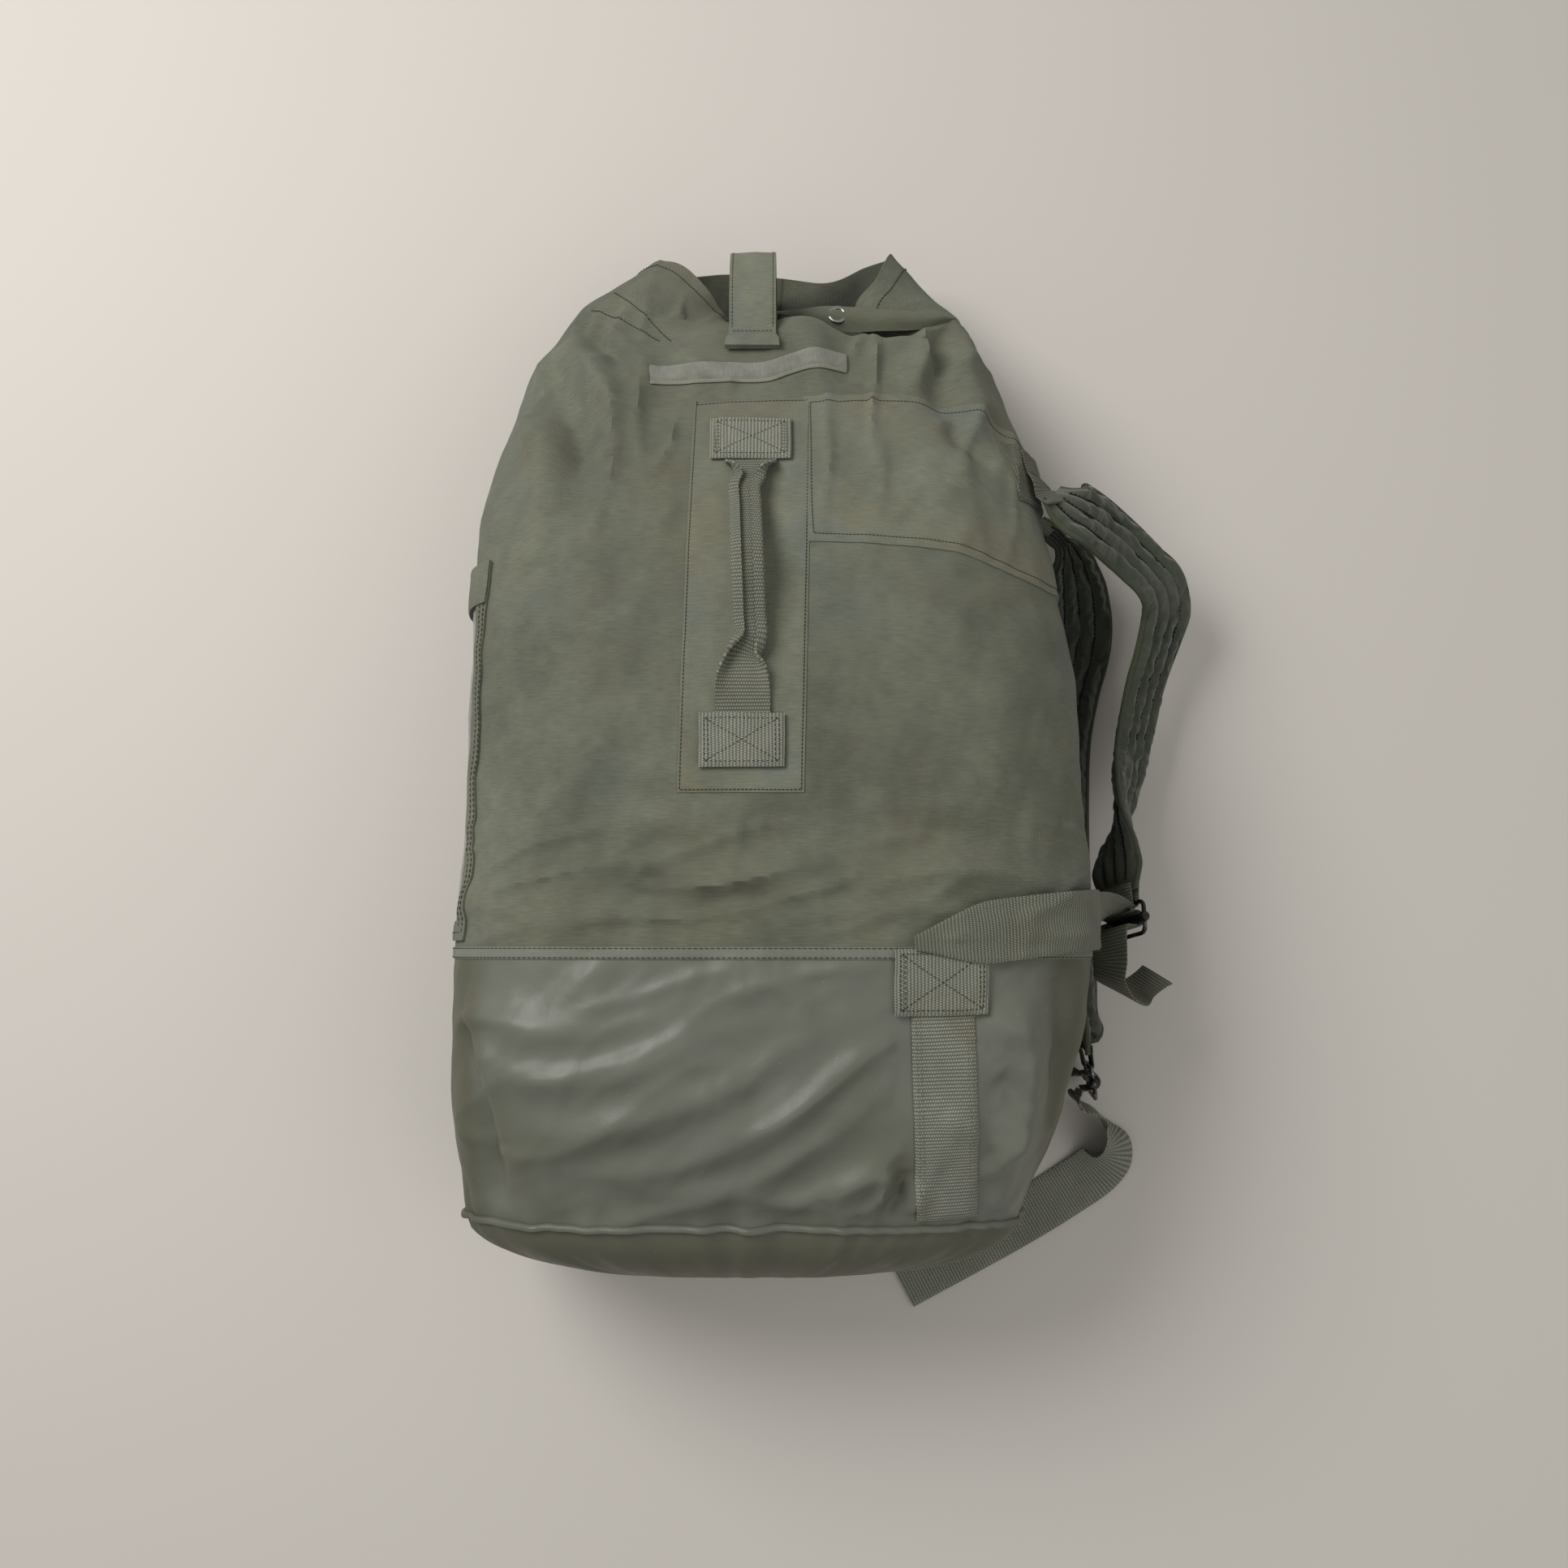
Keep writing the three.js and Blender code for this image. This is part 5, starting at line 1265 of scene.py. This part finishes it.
sewn_piece("pocket_film", pocket_places(POCKET_LOW, POCKET_HIGH, 8, 60, 30), 0.5, 0.7, FILM, "bag",
           "window_film", "film", lay=wrap)
pocket = pocket_places(POCKET_LOW, POCKET_HIGH, 0, 80, 34)
for label, places, over in (("near", pocket[:, -5:], 1.4), ("far", pocket[:, :5], 1.4),
                            ("low", pocket[:5, :], 1.7), ("high", pocket[-5:, :], 1.7)):
    sewn_piece("pocket_border_" + label, places, over, 1.2, CANVAS, "bag",
               "window_frame" if label == "near" else None, "canvas", lay=wrap)
mid_low, mid_high = -side_length(-130, -1), -side_length(150, -1)
stitches("pocket_stitches", [round_bag(p, 2.9) for p in (
    [(mid_low + 68, -124), (mid_high + 68, 150)], [(mid_low + 74, -128), (mid_high + 74, 155)],
    [(mid_low - 68, -124), (mid_high - 68, 150)], [(mid_low - 74, -128), (mid_low + 74, -128)])], THREAD,
    "bag", "canvas")
sewn_piece("pocket_flap", pocket_places(126, 161, 0, 16, 46), 3.2, 1.6, CANVAS, "window_flap",
           "window_flap", "canvas", lay=wrap)

# ---- Webbing on the boot ----------------------------------------------------------------------------


def upper_base_strap():
    """The base strap sewn on the top face, from the base seam to under the anchor."""
    path = np.array([(129, -336), (125.5, -250), (122, -146)], float)
    length = lengths_along(path)
    want = np.linspace(0, length[-1], max(6, int(length[-1] / 2.5)))
    fine = curve(length, path, want)
    forward = unit(np.gradient(fine, axis=0))
    side = np.stack([forward[:, 1], -forward[:, 0]], -1)
    places = fine[:, None] + side[:, None] * (np.linspace(-1, 1, 19)[None, :, None] * 23)
    sewn_piece("upper_base_strap", places, 0.4, 2.1, PALE_WEB, "bag", "base_strap_right", "webbing")


upper_base_strap()
strap_rows = ((109, 102), (112, 105), (148.5, 142), (145.5, 139))
strap_lines = [on_top([(low_x, -333), (high_x, -148)], 2.6) for low_x, high_x in strap_rows]
stitches("upper_base_strap_stitches", strap_lines, PALE_THREAD, "bag", "webbing", long=2.6, gap=1.2,
         fat=0.7)
ANCHOR_LOW, ANCHOR_HIGH = (88, -187), (156, -140)
anchor_grid = spread_grid([ANCHOR_LOW, (ANCHOR_LOW[0], ANCHOR_HIGH[1])],
                          [(ANCHOR_HIGH[0], ANCHOR_LOW[1]), ANCHOR_HIGH], 2.5)
sewn_piece("upper_lower_anchor", np.transpose(anchor_grid, (1, 0, 2)), 3.0, 2.2, PALE_WEB, "bag",
           "lower_anchor_right", "webbing")
stitches("upper_lower_anchor_stitches", box_cross(ANCHOR_LOW, ANCHOR_HIGH, 5.3), THREAD, "bag", "webbing",
         long=2.6, gap=0.8, fat=0.8)

# ---- Straps that leave the bag ----------------------------------------------------------------------

CHANNELS = 4
CHANNEL_COLUMNS = 8
SEAM_THICK, CHANNEL_THICK = 2.4, 9.4  # the pad at its seams, and what its stuffing adds between them
MOST_SWELL = 5 * MM
STUFFING_STEPS = 20


def stuffed(piece, seams):
    """Lets the stuffing swell the pad between its pinned seams, then keeps the shape."""
    pins = piece.vertex_groups.new(name="seams")
    pins.add(seams, 1.0, "REPLACE")
    before = np.zeros(len(piece.data.vertices) * 3)
    piece.data.vertices.foreach_get("co", before)
    select_only(piece)
    cloth = piece.modifiers.new("Cloth", "CLOTH")
    cloth.settings.quality = 4
    cloth.settings.mass = 0.15
    cloth.settings.tension_stiffness = cloth.settings.compression_stiffness = 12
    cloth.settings.bending_stiffness = 0.25
    cloth.settings.vertex_group_mass = "seams"
    cloth.settings.pin_stiffness = 1.0
    cloth.settings.use_pressure = True
    cloth.settings.uniform_pressure_force = 1.2
    cloth.settings.shrink_min = -0.07
    cloth.settings.effector_weights.gravity = 0
    cloth.collision_settings.use_collision = False
    cloth.point_cache.frame_start, cloth.point_cache.frame_end = 1, STUFFING_STEPS
    for at in range(1, STUFFING_STEPS + 1):
        scene.frame_set(at)
    bpy.ops.object.modifier_apply(modifier=cloth.name)
    scene.frame_set(1)
    after = np.zeros_like(before)
    piece.data.vertices.foreach_get("co", after)
    move = (after - before).reshape(-1, 3)
    far = np.linalg.norm(move, axis=1, keepdims=True)
    after = before.reshape(-1, 3) + move * np.minimum(1, MOST_SWELL / np.maximum(far, 1e-9))
    piece.data.vertices.foreach_set("co", after.ravel())
    piece.data.update()


def shoulder_pad(name, rings, keys, seed):
    """The quilted pad: a closed tube of cloth, drawn in along the quilting and stuffed between."""
    length = np.linalg.norm(np.diff(np.array([k[0] for k in keys], float), axis=0), axis=1).sum()
    count = int(length / 3.0)
    place, way, face, want = route(keys, count)
    u = np.linspace(0, 1, count)
    ends = fade(np.minimum(u, 1 - u), 0, 0.06)
    across = [np.ptp((ring / MM - at) @ way_over) for ring, (at, way_over) in zip(rings, keys)]
    widths = np.interp(u, np.linspace(0, 1, len(across)), across) - 1
    columns = CHANNELS * CHANNEL_COLUMNS + 1
    c = np.linspace(0, 1, columns)
    channel = np.abs(np.sin(np.pi * CHANNELS * c)) ** 0.9
    wrinkle = np.array([[noise.noise(Vector((float(w) * 0.16, float(k) * 2.6, seed))) for k in c]
                        for w in want])
    stuffing = (CHANNEL_THICK * channel)[None, :] * ends[:, None]
    thick = SEAM_THICK + stuffing + 1.6 * wrinkle * channel[None, :]
    thick[:, 0] = thick[:, -1] = SEAM_THICK
    sideways = (c - 0.5)[None, :, None] * widths[:, None, None] * way[:, None]
    top = place[:, None] + sideways + face[:, None] * thick[..., None] / 2
    under = place[:, None] + sideways - face[:, None] * thick[..., None] / 2
    ring = np.concatenate([top, under[:, ::-1], top[:, :1]], 1)
    flat_across = np.concatenate([c, c[::-1] + 1.1, c[:1]]) * 57
    piece = cloth_from_grid("pad_" + name, *end_closed(ring, flat_grid(flat_across, want)), PAD,
                            closed=True)
    recalculate(piece)
    co = np.array([v.co for v in piece.data.vertices]) / MM
    lines = ((top[:, ::CHANNEL_COLUMNS] + under[:, ::CHANNEL_COLUMNS]) / 2).reshape(-1, 3)
    tree = KDTree(len(lines))
    for k, p in enumerate(lines):
        tree.insert(Vector(p), k)
    tree.balance()
    seams = [k for k, p in enumerate(co) if tree.find(Vector(p))[2] < 1.9]
    seams += [k for k, p in enumerate(co)
              if min(np.linalg.norm(p - place[0]), np.linalg.norm(p - place[-1])) < 30]
    stuffed(piece, seams)
    apply_modifier(piece, "SUBSURF", levels=1, render_levels=1)
    select_only(piece)
    bpy.ops.object.shade_smooth()
    in_frame(piece, "strap_" + name, "pad_cloth", "shoulder_pad_" + name)
    # binding tape folded over both long edges, and the quilting's stitches, near-black and fat so that they
    # are part thread and part painted shade of the valleys along the seams
    for label, edge in (("a", -0.5), ("b", 0.5)):
        at = place + way * (edge * widths)[:, None]
        turn = np.linspace(0, 2 * math.pi, 9)
        rows = [at + way * (np.cos(t) * 2.6) + face * (np.sin(t) * 2.4) for t in turn]
        points = np.transpose(np.array(rows), (1, 0, 2))
        tape = cloth_from_grid(f"pad_{name}_binding_{label}", points, flat_grid(turn * 2.6, want), BINDING,
                               closed=True)
        recalculate(tape)
        in_frame(tape, "strap_" + name, "pad_cloth")
    lines = []
    for k in range(1, CHANNELS):
        column = k * CHANNEL_COLUMNS
        for points, up in ((top, face), (under, -face)):
            lines.append([(p + n * 1.5, n) for p, n in zip(points[3:-3, column], up[3:-3])])
    stitches("pad_" + name + "_quilting", lines, QUILTING_AND_VALLEY_SHADE, "strap_" + name, "pad_cloth", long=3.4, gap=0.4,
             fat=2.0)
    box = []
    near, far, left, right = 1, 9, 0.14, 0.86
    for a, b in (((near, left), (far, left)), ((far, left), (far, right)), ((far, right), (near, right)),
                 ((near, right), (near, left)), ((near, left), (far, right)), ((near, right), (far, left))):
        path = []
        for t in np.linspace(0, 1, 14):
            row, column = round(a[0] + (b[0] - a[0]) * t), a[1] + (b[1] - a[1]) * t
            raised = face[row] * (thick[row].max() / 2 + 0.2)
            path.append((place[row] + way[row] * (column - 0.5) * widths[row] + raised, face[row]))
        box.append(path)
    stitches("pad_" + name + "_box", box, PALE_THREAD, "strap_" + name, "pad_cloth", long=2.4, gap=0.8,
             fat=0.8)


OVER_YOKE = 4.8  # the patch and the yoke lie under the straps' sewn ends
OVER_ANCHOR = 6.0  # the base strap and the anchor lie under the adjusting webbing
SEWN_AT = 240.0  # the strap leaves the yoke here
WEB_WIDTH, WEB_THICK = 44, 2.1
TWIST_KEYS = 6  # over these first sections the pad keeps its face's direction
PAD_OVER_ROOT = 0.6  # the pad is sewn on over this share of its root
TOWARDS_FLOOR = (0, 0, -1)


def faced_alike(keys, count):
    """The keys, the first ones turned so that the strap's face looks as it does at the last of them."""
    ahead = [unit(keys[k + 1][0] - keys[k][0]) for k in range(count + 1)]
    face = unit(np.cross(ahead[count], keys[count][1]))
    return [(keys[k][0], unit(np.cross(face, ahead[k]))) for k in range(count)] + keys[count:]


def shoulder_strap(name, side, seed, tail_finish):
    """One strap from its sewn end on the yoke to the loose tail past its buckle."""
    strap = "strap_" + name
    rings = swept("shoulder_pad_" + name, middle_of("strap_yoke"))
    pad_keys = centre_line(rings, TOWARDS_FLOOR)
    pad_line = faced_alike(pad_keys, TWIST_KEYS)
    round_to = side_length(SEWN_AT) + side * STRAPS_APART / 2
    lifts = ((0, 1.2), (5, 2.0), (12, 5.2))
    peel = [wrap(round_to, SEWN_AT - before, OVER_YOKE + out) for before, out in lifts]
    pad_start = pad_keys[0][0] + (peel[-1] - pad_keys[0][0]) * PAD_OVER_ROOT
    half_turned = unit(pad_keys[0][1] + pad_line[0][1])
    pad_line[0] = (pad_start, half_turned)
    root_end = [(pad_start, half_turned), (pad_keys[0][0], half_turned)]
    root_line = [(at, pad_keys[0][1]) for at in peel] + root_end
    root = webbing_strip("root_" + name, root_line, 41, 2.2, DARK_WEB, "strap_root_" + name)
    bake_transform(root)
    flat_end = np.array([[(side_length(y) + side * STRAPS_APART / 2 + w, y)
                          for w in np.linspace(-20.5, 20.5, 18)]
                         for y in np.linspace(SEWN_AT - 2, 258, 12)])
    sewn_piece("root_end_" + name, flat_end, OVER_YOKE, 2.1, DARK_WEB, "bag", None, "webbing", lay=wrap)
    shoulder_pad(name, rings, pad_line, seed)
    loop_keys = centre_line(swept("pad_loop_" + name, middle_of("shoulder_pad_" + name)), TOWARDS_FLOOR)
    webbing_strip("loop_" + name, loop_keys, 40, 1.9, WEB, "pad_loop_" + name, strap, step=1.0)
    adjuster_keys = centre_line(swept("adjuster_to_buckle_" + name, middle_of("adjuster_on_bag_" + name)),
                                (0, side, 0))
    bar = middle_of("slide_bar_" + name) / MM
    at_bar = next(k for k, (at, _) in enumerate(adjuster_keys) if np.linalg.norm(at - bar) < 16)
    half_way = at_bar * 4 // 5
    first = webbing_strip("adjuster_" + name, adjuster_keys[:half_way + 1], WEB_WIDTH, WEB_THICK, WEB,
                          step=1.4)
    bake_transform(first)
    second = webbing_strip("adjuster_end_" + name, adjuster_keys[half_way:], WEB_WIDTH, WEB_THICK, WEB,
                           "adjuster_to_buckle_" + name, step=1.4)
    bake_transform(second)
    tail_keys = centre_line(swept("web_tail_" + name, middle_of("slide_bar_" + name)), TOWARDS_FLOOR)
    webbing_strip("tail_end_" + name, tail_keys, WEB_WIDTH, WEB_THICK, tail_finish, "web_tail_" + name,
                  "tail_" + name, step=2.0)


shoulder_strap("right", -1, 1.3, WEB)
shoulder_strap("left", 1, 5.1, PALE_WEB)


def from_floor_middle(length, y):
    """A length counted from the middle of the floor side, as one counted from the middle of the top."""
    return girth_at(y) / 2 - length


def adjuster_on_bag(name, start, leave, far, narrow, place):
    """The adjusting webbing on the bag: gathered at the anchor, at full width from narrow on."""
    def path(u):
        return np.array([100 + (far - 100) * u, start + (leave - start) * math.sin(u * math.pi / 2)])
    rows = []
    for u in np.linspace(0, 1, 60):
        ahead = unit(path(u + 0.02) - path(u - 0.02))
        half = (4 + 41 * float(fade(u, -0.1, narrow))) / 2
        across = [path(u) + w * np.array([-ahead[1], ahead[0]]) for w in np.linspace(-half, half, 19)]
        rows.append([(place(s, y), y) for s, y in across])
    sewn_piece("adjuster_sewn_" + name, np.array(rows), OVER_ANCHOR, 2.1, WEB, "bag",
               "adjuster_on_bag_" + name, "webbing", lay=wrap)


leave_right, leave_left = HEM_LINE + 26, HEM_LINE - 84
LEFT_SHORT_OF_SIDE = 144.34  # the left webbing leaves the bag this far before its side
adjuster_on_bag("right", HEM_LINE + 7, leave_right, side_length(leave_right) - 26, 0.3, lambda s, y: s)
far_left = from_floor_middle(side_length(leave_left), leave_left) - LEFT_SHORT_OF_SIDE
adjuster_on_bag("left", HEM_LINE - 24, leave_left, far_left, 0.2, from_floor_middle)
ANCHOR_FROM, ANCHOR_TO = 90, 154
under_strap = [[(from_floor_middle(122 + 17 * (HEM_LINE - y) / 198 + w, y), y)
                for w in np.linspace(-22.5, 22.5, 14)]
               for y in np.linspace(BASE_SEAM + 3.3, HEM_LINE - 4.4, 50)]
sewn_piece("lower_base_strap", np.array(under_strap), 0.4, 2.1, PALE_WEB, "bag", "base_strap_left",
           "webbing", lay=wrap)
under_anchor = [[(from_floor_middle(s, y), y) for y in np.linspace(HEM_LINE - 41, HEM_LINE + 4, 16)]
                for s in np.linspace(ANCHOR_FROM, ANCHOR_TO, 20)]
sewn_piece("lower_lower_anchor", np.array(under_anchor), 3.2, 2.1, PALE_WEB, "bag", "lower_anchor_left",
           "webbing", lay=wrap)

# ---- Mouth ------------------------------------------------------------------------------------------


TAB_ROWS = 70
HEM_ROWS = 4  # rows of the tab's turned end
FREE_ROWS = 16  # rows of the tab that may rest on the bag's cloth
STITCHED_TO = 64  # the tab's row where the stitches down its edges end and a line crosses it
TAB_THICK, TAB_END_THICK = 2.3, 5.0
TAB_CLEAR = 3.6  # from the bag's cloth to the middle of the tab's


def closing_tab():
    """The closing tab: sewn behind the mouth, folded over it, with a turned end on the front."""
    keys = centre_line(swept("closure_tab", middle_of("tab_root")), (1, 0, 0))
    place, way, face, want = route(keys, TAB_ROWS)
    columns = np.linspace(-0.5, 0.5, 17)
    share = np.linspace(0, 1, TAB_ROWS)
    width = np.interp(share, [0, 0.94, 0.97, 1], [37.5, 37.5, 42.5, 43.5])
    wave = np.array([[noise.noise(Vector((s * 5, c * 2.2, 9.0))) for c in columns] for s in share])
    across = way[:, None] * (columns[None, :, None] * width[:, None, None])
    points = place[:, None] + across + face[:, None] * (1.5 * wave[..., None])
    # the free end rests on the bag's cloth, more and more of the way over its first rows
    for k in range(FREE_ROWS):
        row = points[k - FREE_ROWS]
        sunk = max(drop(x, y)[2] - z for x, y, z in row)
        row[:, 2] += max(0.0, sunk + TAB_CLEAR) * min(1.0, k / 6)
    flat = flat_grid(columns * 40, want)
    tab = cloth_from_grid("closing_tab", points, flat, PATCH, TAB_THICK, offset=0)
    in_frame(tab, "closure_tab", "canvas", "closure_tab")
    end = cloth_from_grid("closing_tab_hem", points[-HEM_ROWS:], flat[-HEM_ROWS:], PATCH, TAB_END_THICK,
                          offset=0)
    in_frame(end, "closure_tab", "canvas")
    lines = [[(points[k, c] + face[k] * side * 1.4, face[k] * side) for k in range(2, STITCHED_TO)]
             for c in (1, 15) for side in (-1, 1)]
    last_out = face[STITCHED_TO]
    lines += [[(points[STITCHED_TO, c] - last_out * 2.8, -last_out) for c in range(1, 16)]]
    stitches("closing_tab_stitches", lines, THREAD, "closure_tab", "canvas", long=2.2, gap=0.8, fat=0.6)
    # its root, sewn to the back of the mouth
    low, high = (np.array(corner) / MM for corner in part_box("tab_root"))
    back = np.array([[(x, y, low[2] + 1.5 + (high[2] - low[2]) * (y - low[1]) / (high[1] - low[1]) * 0.9)
                      for x in np.linspace(low[0], high[0], 12)] for y in np.linspace(low[1], high[1], 12)])
    sewn_root = cloth_from_grid("closing_tab_root", back, back[..., :2], PATCH, TAB_THICK, offset=0)
    in_frame(sewn_root, "bag", "canvas", "tab_root")


closing_tab()


def rim_line():
    """A line of stitches beside the mouth's rim, on the skin's sixth row from it."""
    row, normal = SKIN[-6], unit(grid_normals(SKIN)[-6])
    return [(p + n * 0.5, n) for p, n in zip(row, normal)]


stitches("rim_stitches", [rim_line()], THREAD, "bag", "canvas", long=2.4, gap=1.0, fat=0.7)


def pleat():
    """The strap side's cloth folded in across the mouth, in a soft roll over a dark hollow."""
    across = np.linspace(0, 1, 60)
    turn = np.linspace(-0.2, 1.15, 16)
    knots = [0, 0.3, 0.62, 0.86, 1]
    top_places = [(4, 390, 124), (50, 394, 127), (104, 391, 125), (142, 390, 118), (156, 391, 108)]
    low_places = [(28, 379, 126), (54, 375, 131), (98, 374, 131), (134, 378, 125), (154, 387, 111)]
    top, low = curve(knots, top_places, across), curve(knots, low_places, across)
    arch = np.sin(np.pi * np.clip(across * 0.9 + 0.05, 0, 1))[:, None] ** 0.5
    rows = []
    for t in turn:
        before, past = max(0.0, -t), max(0.0, t - 1)
        rise = 5.5 * math.sin(math.pi * np.clip(t, 0, 1)) - 14 * before - 60 * past
        rows.append(low + (top - low) * t + np.array([0, 0, 1]) * rise * arch)
    points = np.array(rows)
    soft = np.array([[noise.noise(Vector(p * 0.035)) for p in row] for row in points])
    points[..., 2] += 2.2 * soft
    piece = cloth_from_grid("mouth_pleat", points, flat_grid(across * 150, turn * 24), LOBE, 1.6)
    in_frame(piece, "bag", "canvas")


pleat()


def mouth_seams():
    """The stitched hem round the rim, and the dark seams over the window side's lobe."""
    rim = ring_line(COLLAR_SEAM + 76, 0.5)
    lines = [rim[int(len(rim) * 0.15):int(len(rim) * 0.97)]]
    for path in ([(-134, 411), (-108, 381), (-81, 347)], [(-152, 394), (-127, 376), (-90, 348)]):
        lines.append(on_top(path, 0.5))
    stitches("mouth_stitches", lines, THREAD, "bag", "canvas", long=3.0, gap=0.7, fat=1.0)


mouth_seams()


RING_RADIUS, RING_WIRE = 6.4, 1.7


def eyelet_rings():
    """A pressed ring for each eyelet, set in the mouth's cloth."""
    for label in "1234":
        centre = middle_of("eyelet_" + label) / MM
        hit, out, _, _ = mouth_tree.find_nearest(centre)
        bpy.ops.object.select_all(action="DESELECT")
        bpy.ops.mesh.primitive_torus_add(major_radius=RING_RADIUS * MM, minor_radius=RING_WIRE * MM,
                                         major_segments=36, minor_segments=12)
        ring = bpy.context.object
        edit_all(ring, bpy.ops.transform.resize, value=(1, 1, 0.75))
        ring.name = ring.data.name = "eyelet_ring_" + label
        turned = out.to_track_quat("Z", "Y").to_matrix().to_4x4()
        turned.translation = Vector(hit) * MM
        ring.data.transform(turned)
        select_only(ring)
        bpy.ops.object.shade_smooth()
        ring.data.materials.clear()
        ring.data.materials.append(EYELET)
        in_frame(ring, "bag", "eyelet_metal", "eyelet_" + label)


mouth_tree = tree_of(body, bpy.data.objects["mouth_pleat"])
eyelet_rings()

for label in ("right", "left"):
    for node in ("buckle_frame_", "slide_bar_"):
        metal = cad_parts[node + label]
        metal.data.materials.clear()
        metal.data.materials.append(WIRE)

place_camera()
place_lamp("soft light", (-1.25, 0.95, 1.75), (0, 0, 0.1), 1.3, 41)
place_lamp("fill light", (1.3, -0.9, 1.9), (0, 0, 0.1), 2.0, 8)
world = bpy.data.worlds.new("studio")
scene.world = world
world.use_nodes = True
world.node_tree.nodes["Background"].inputs[0].default_value = (1, 1, 1, 1)
world.node_tree.nodes["Background"].inputs[1].default_value = 0.44
bpy.ops.mesh.primitive_plane_add(size=12, location=(0, 0, 0))
floor = bpy.context.object
floor.name = "studio_floor"
floor.data.materials.append(floor_finish())
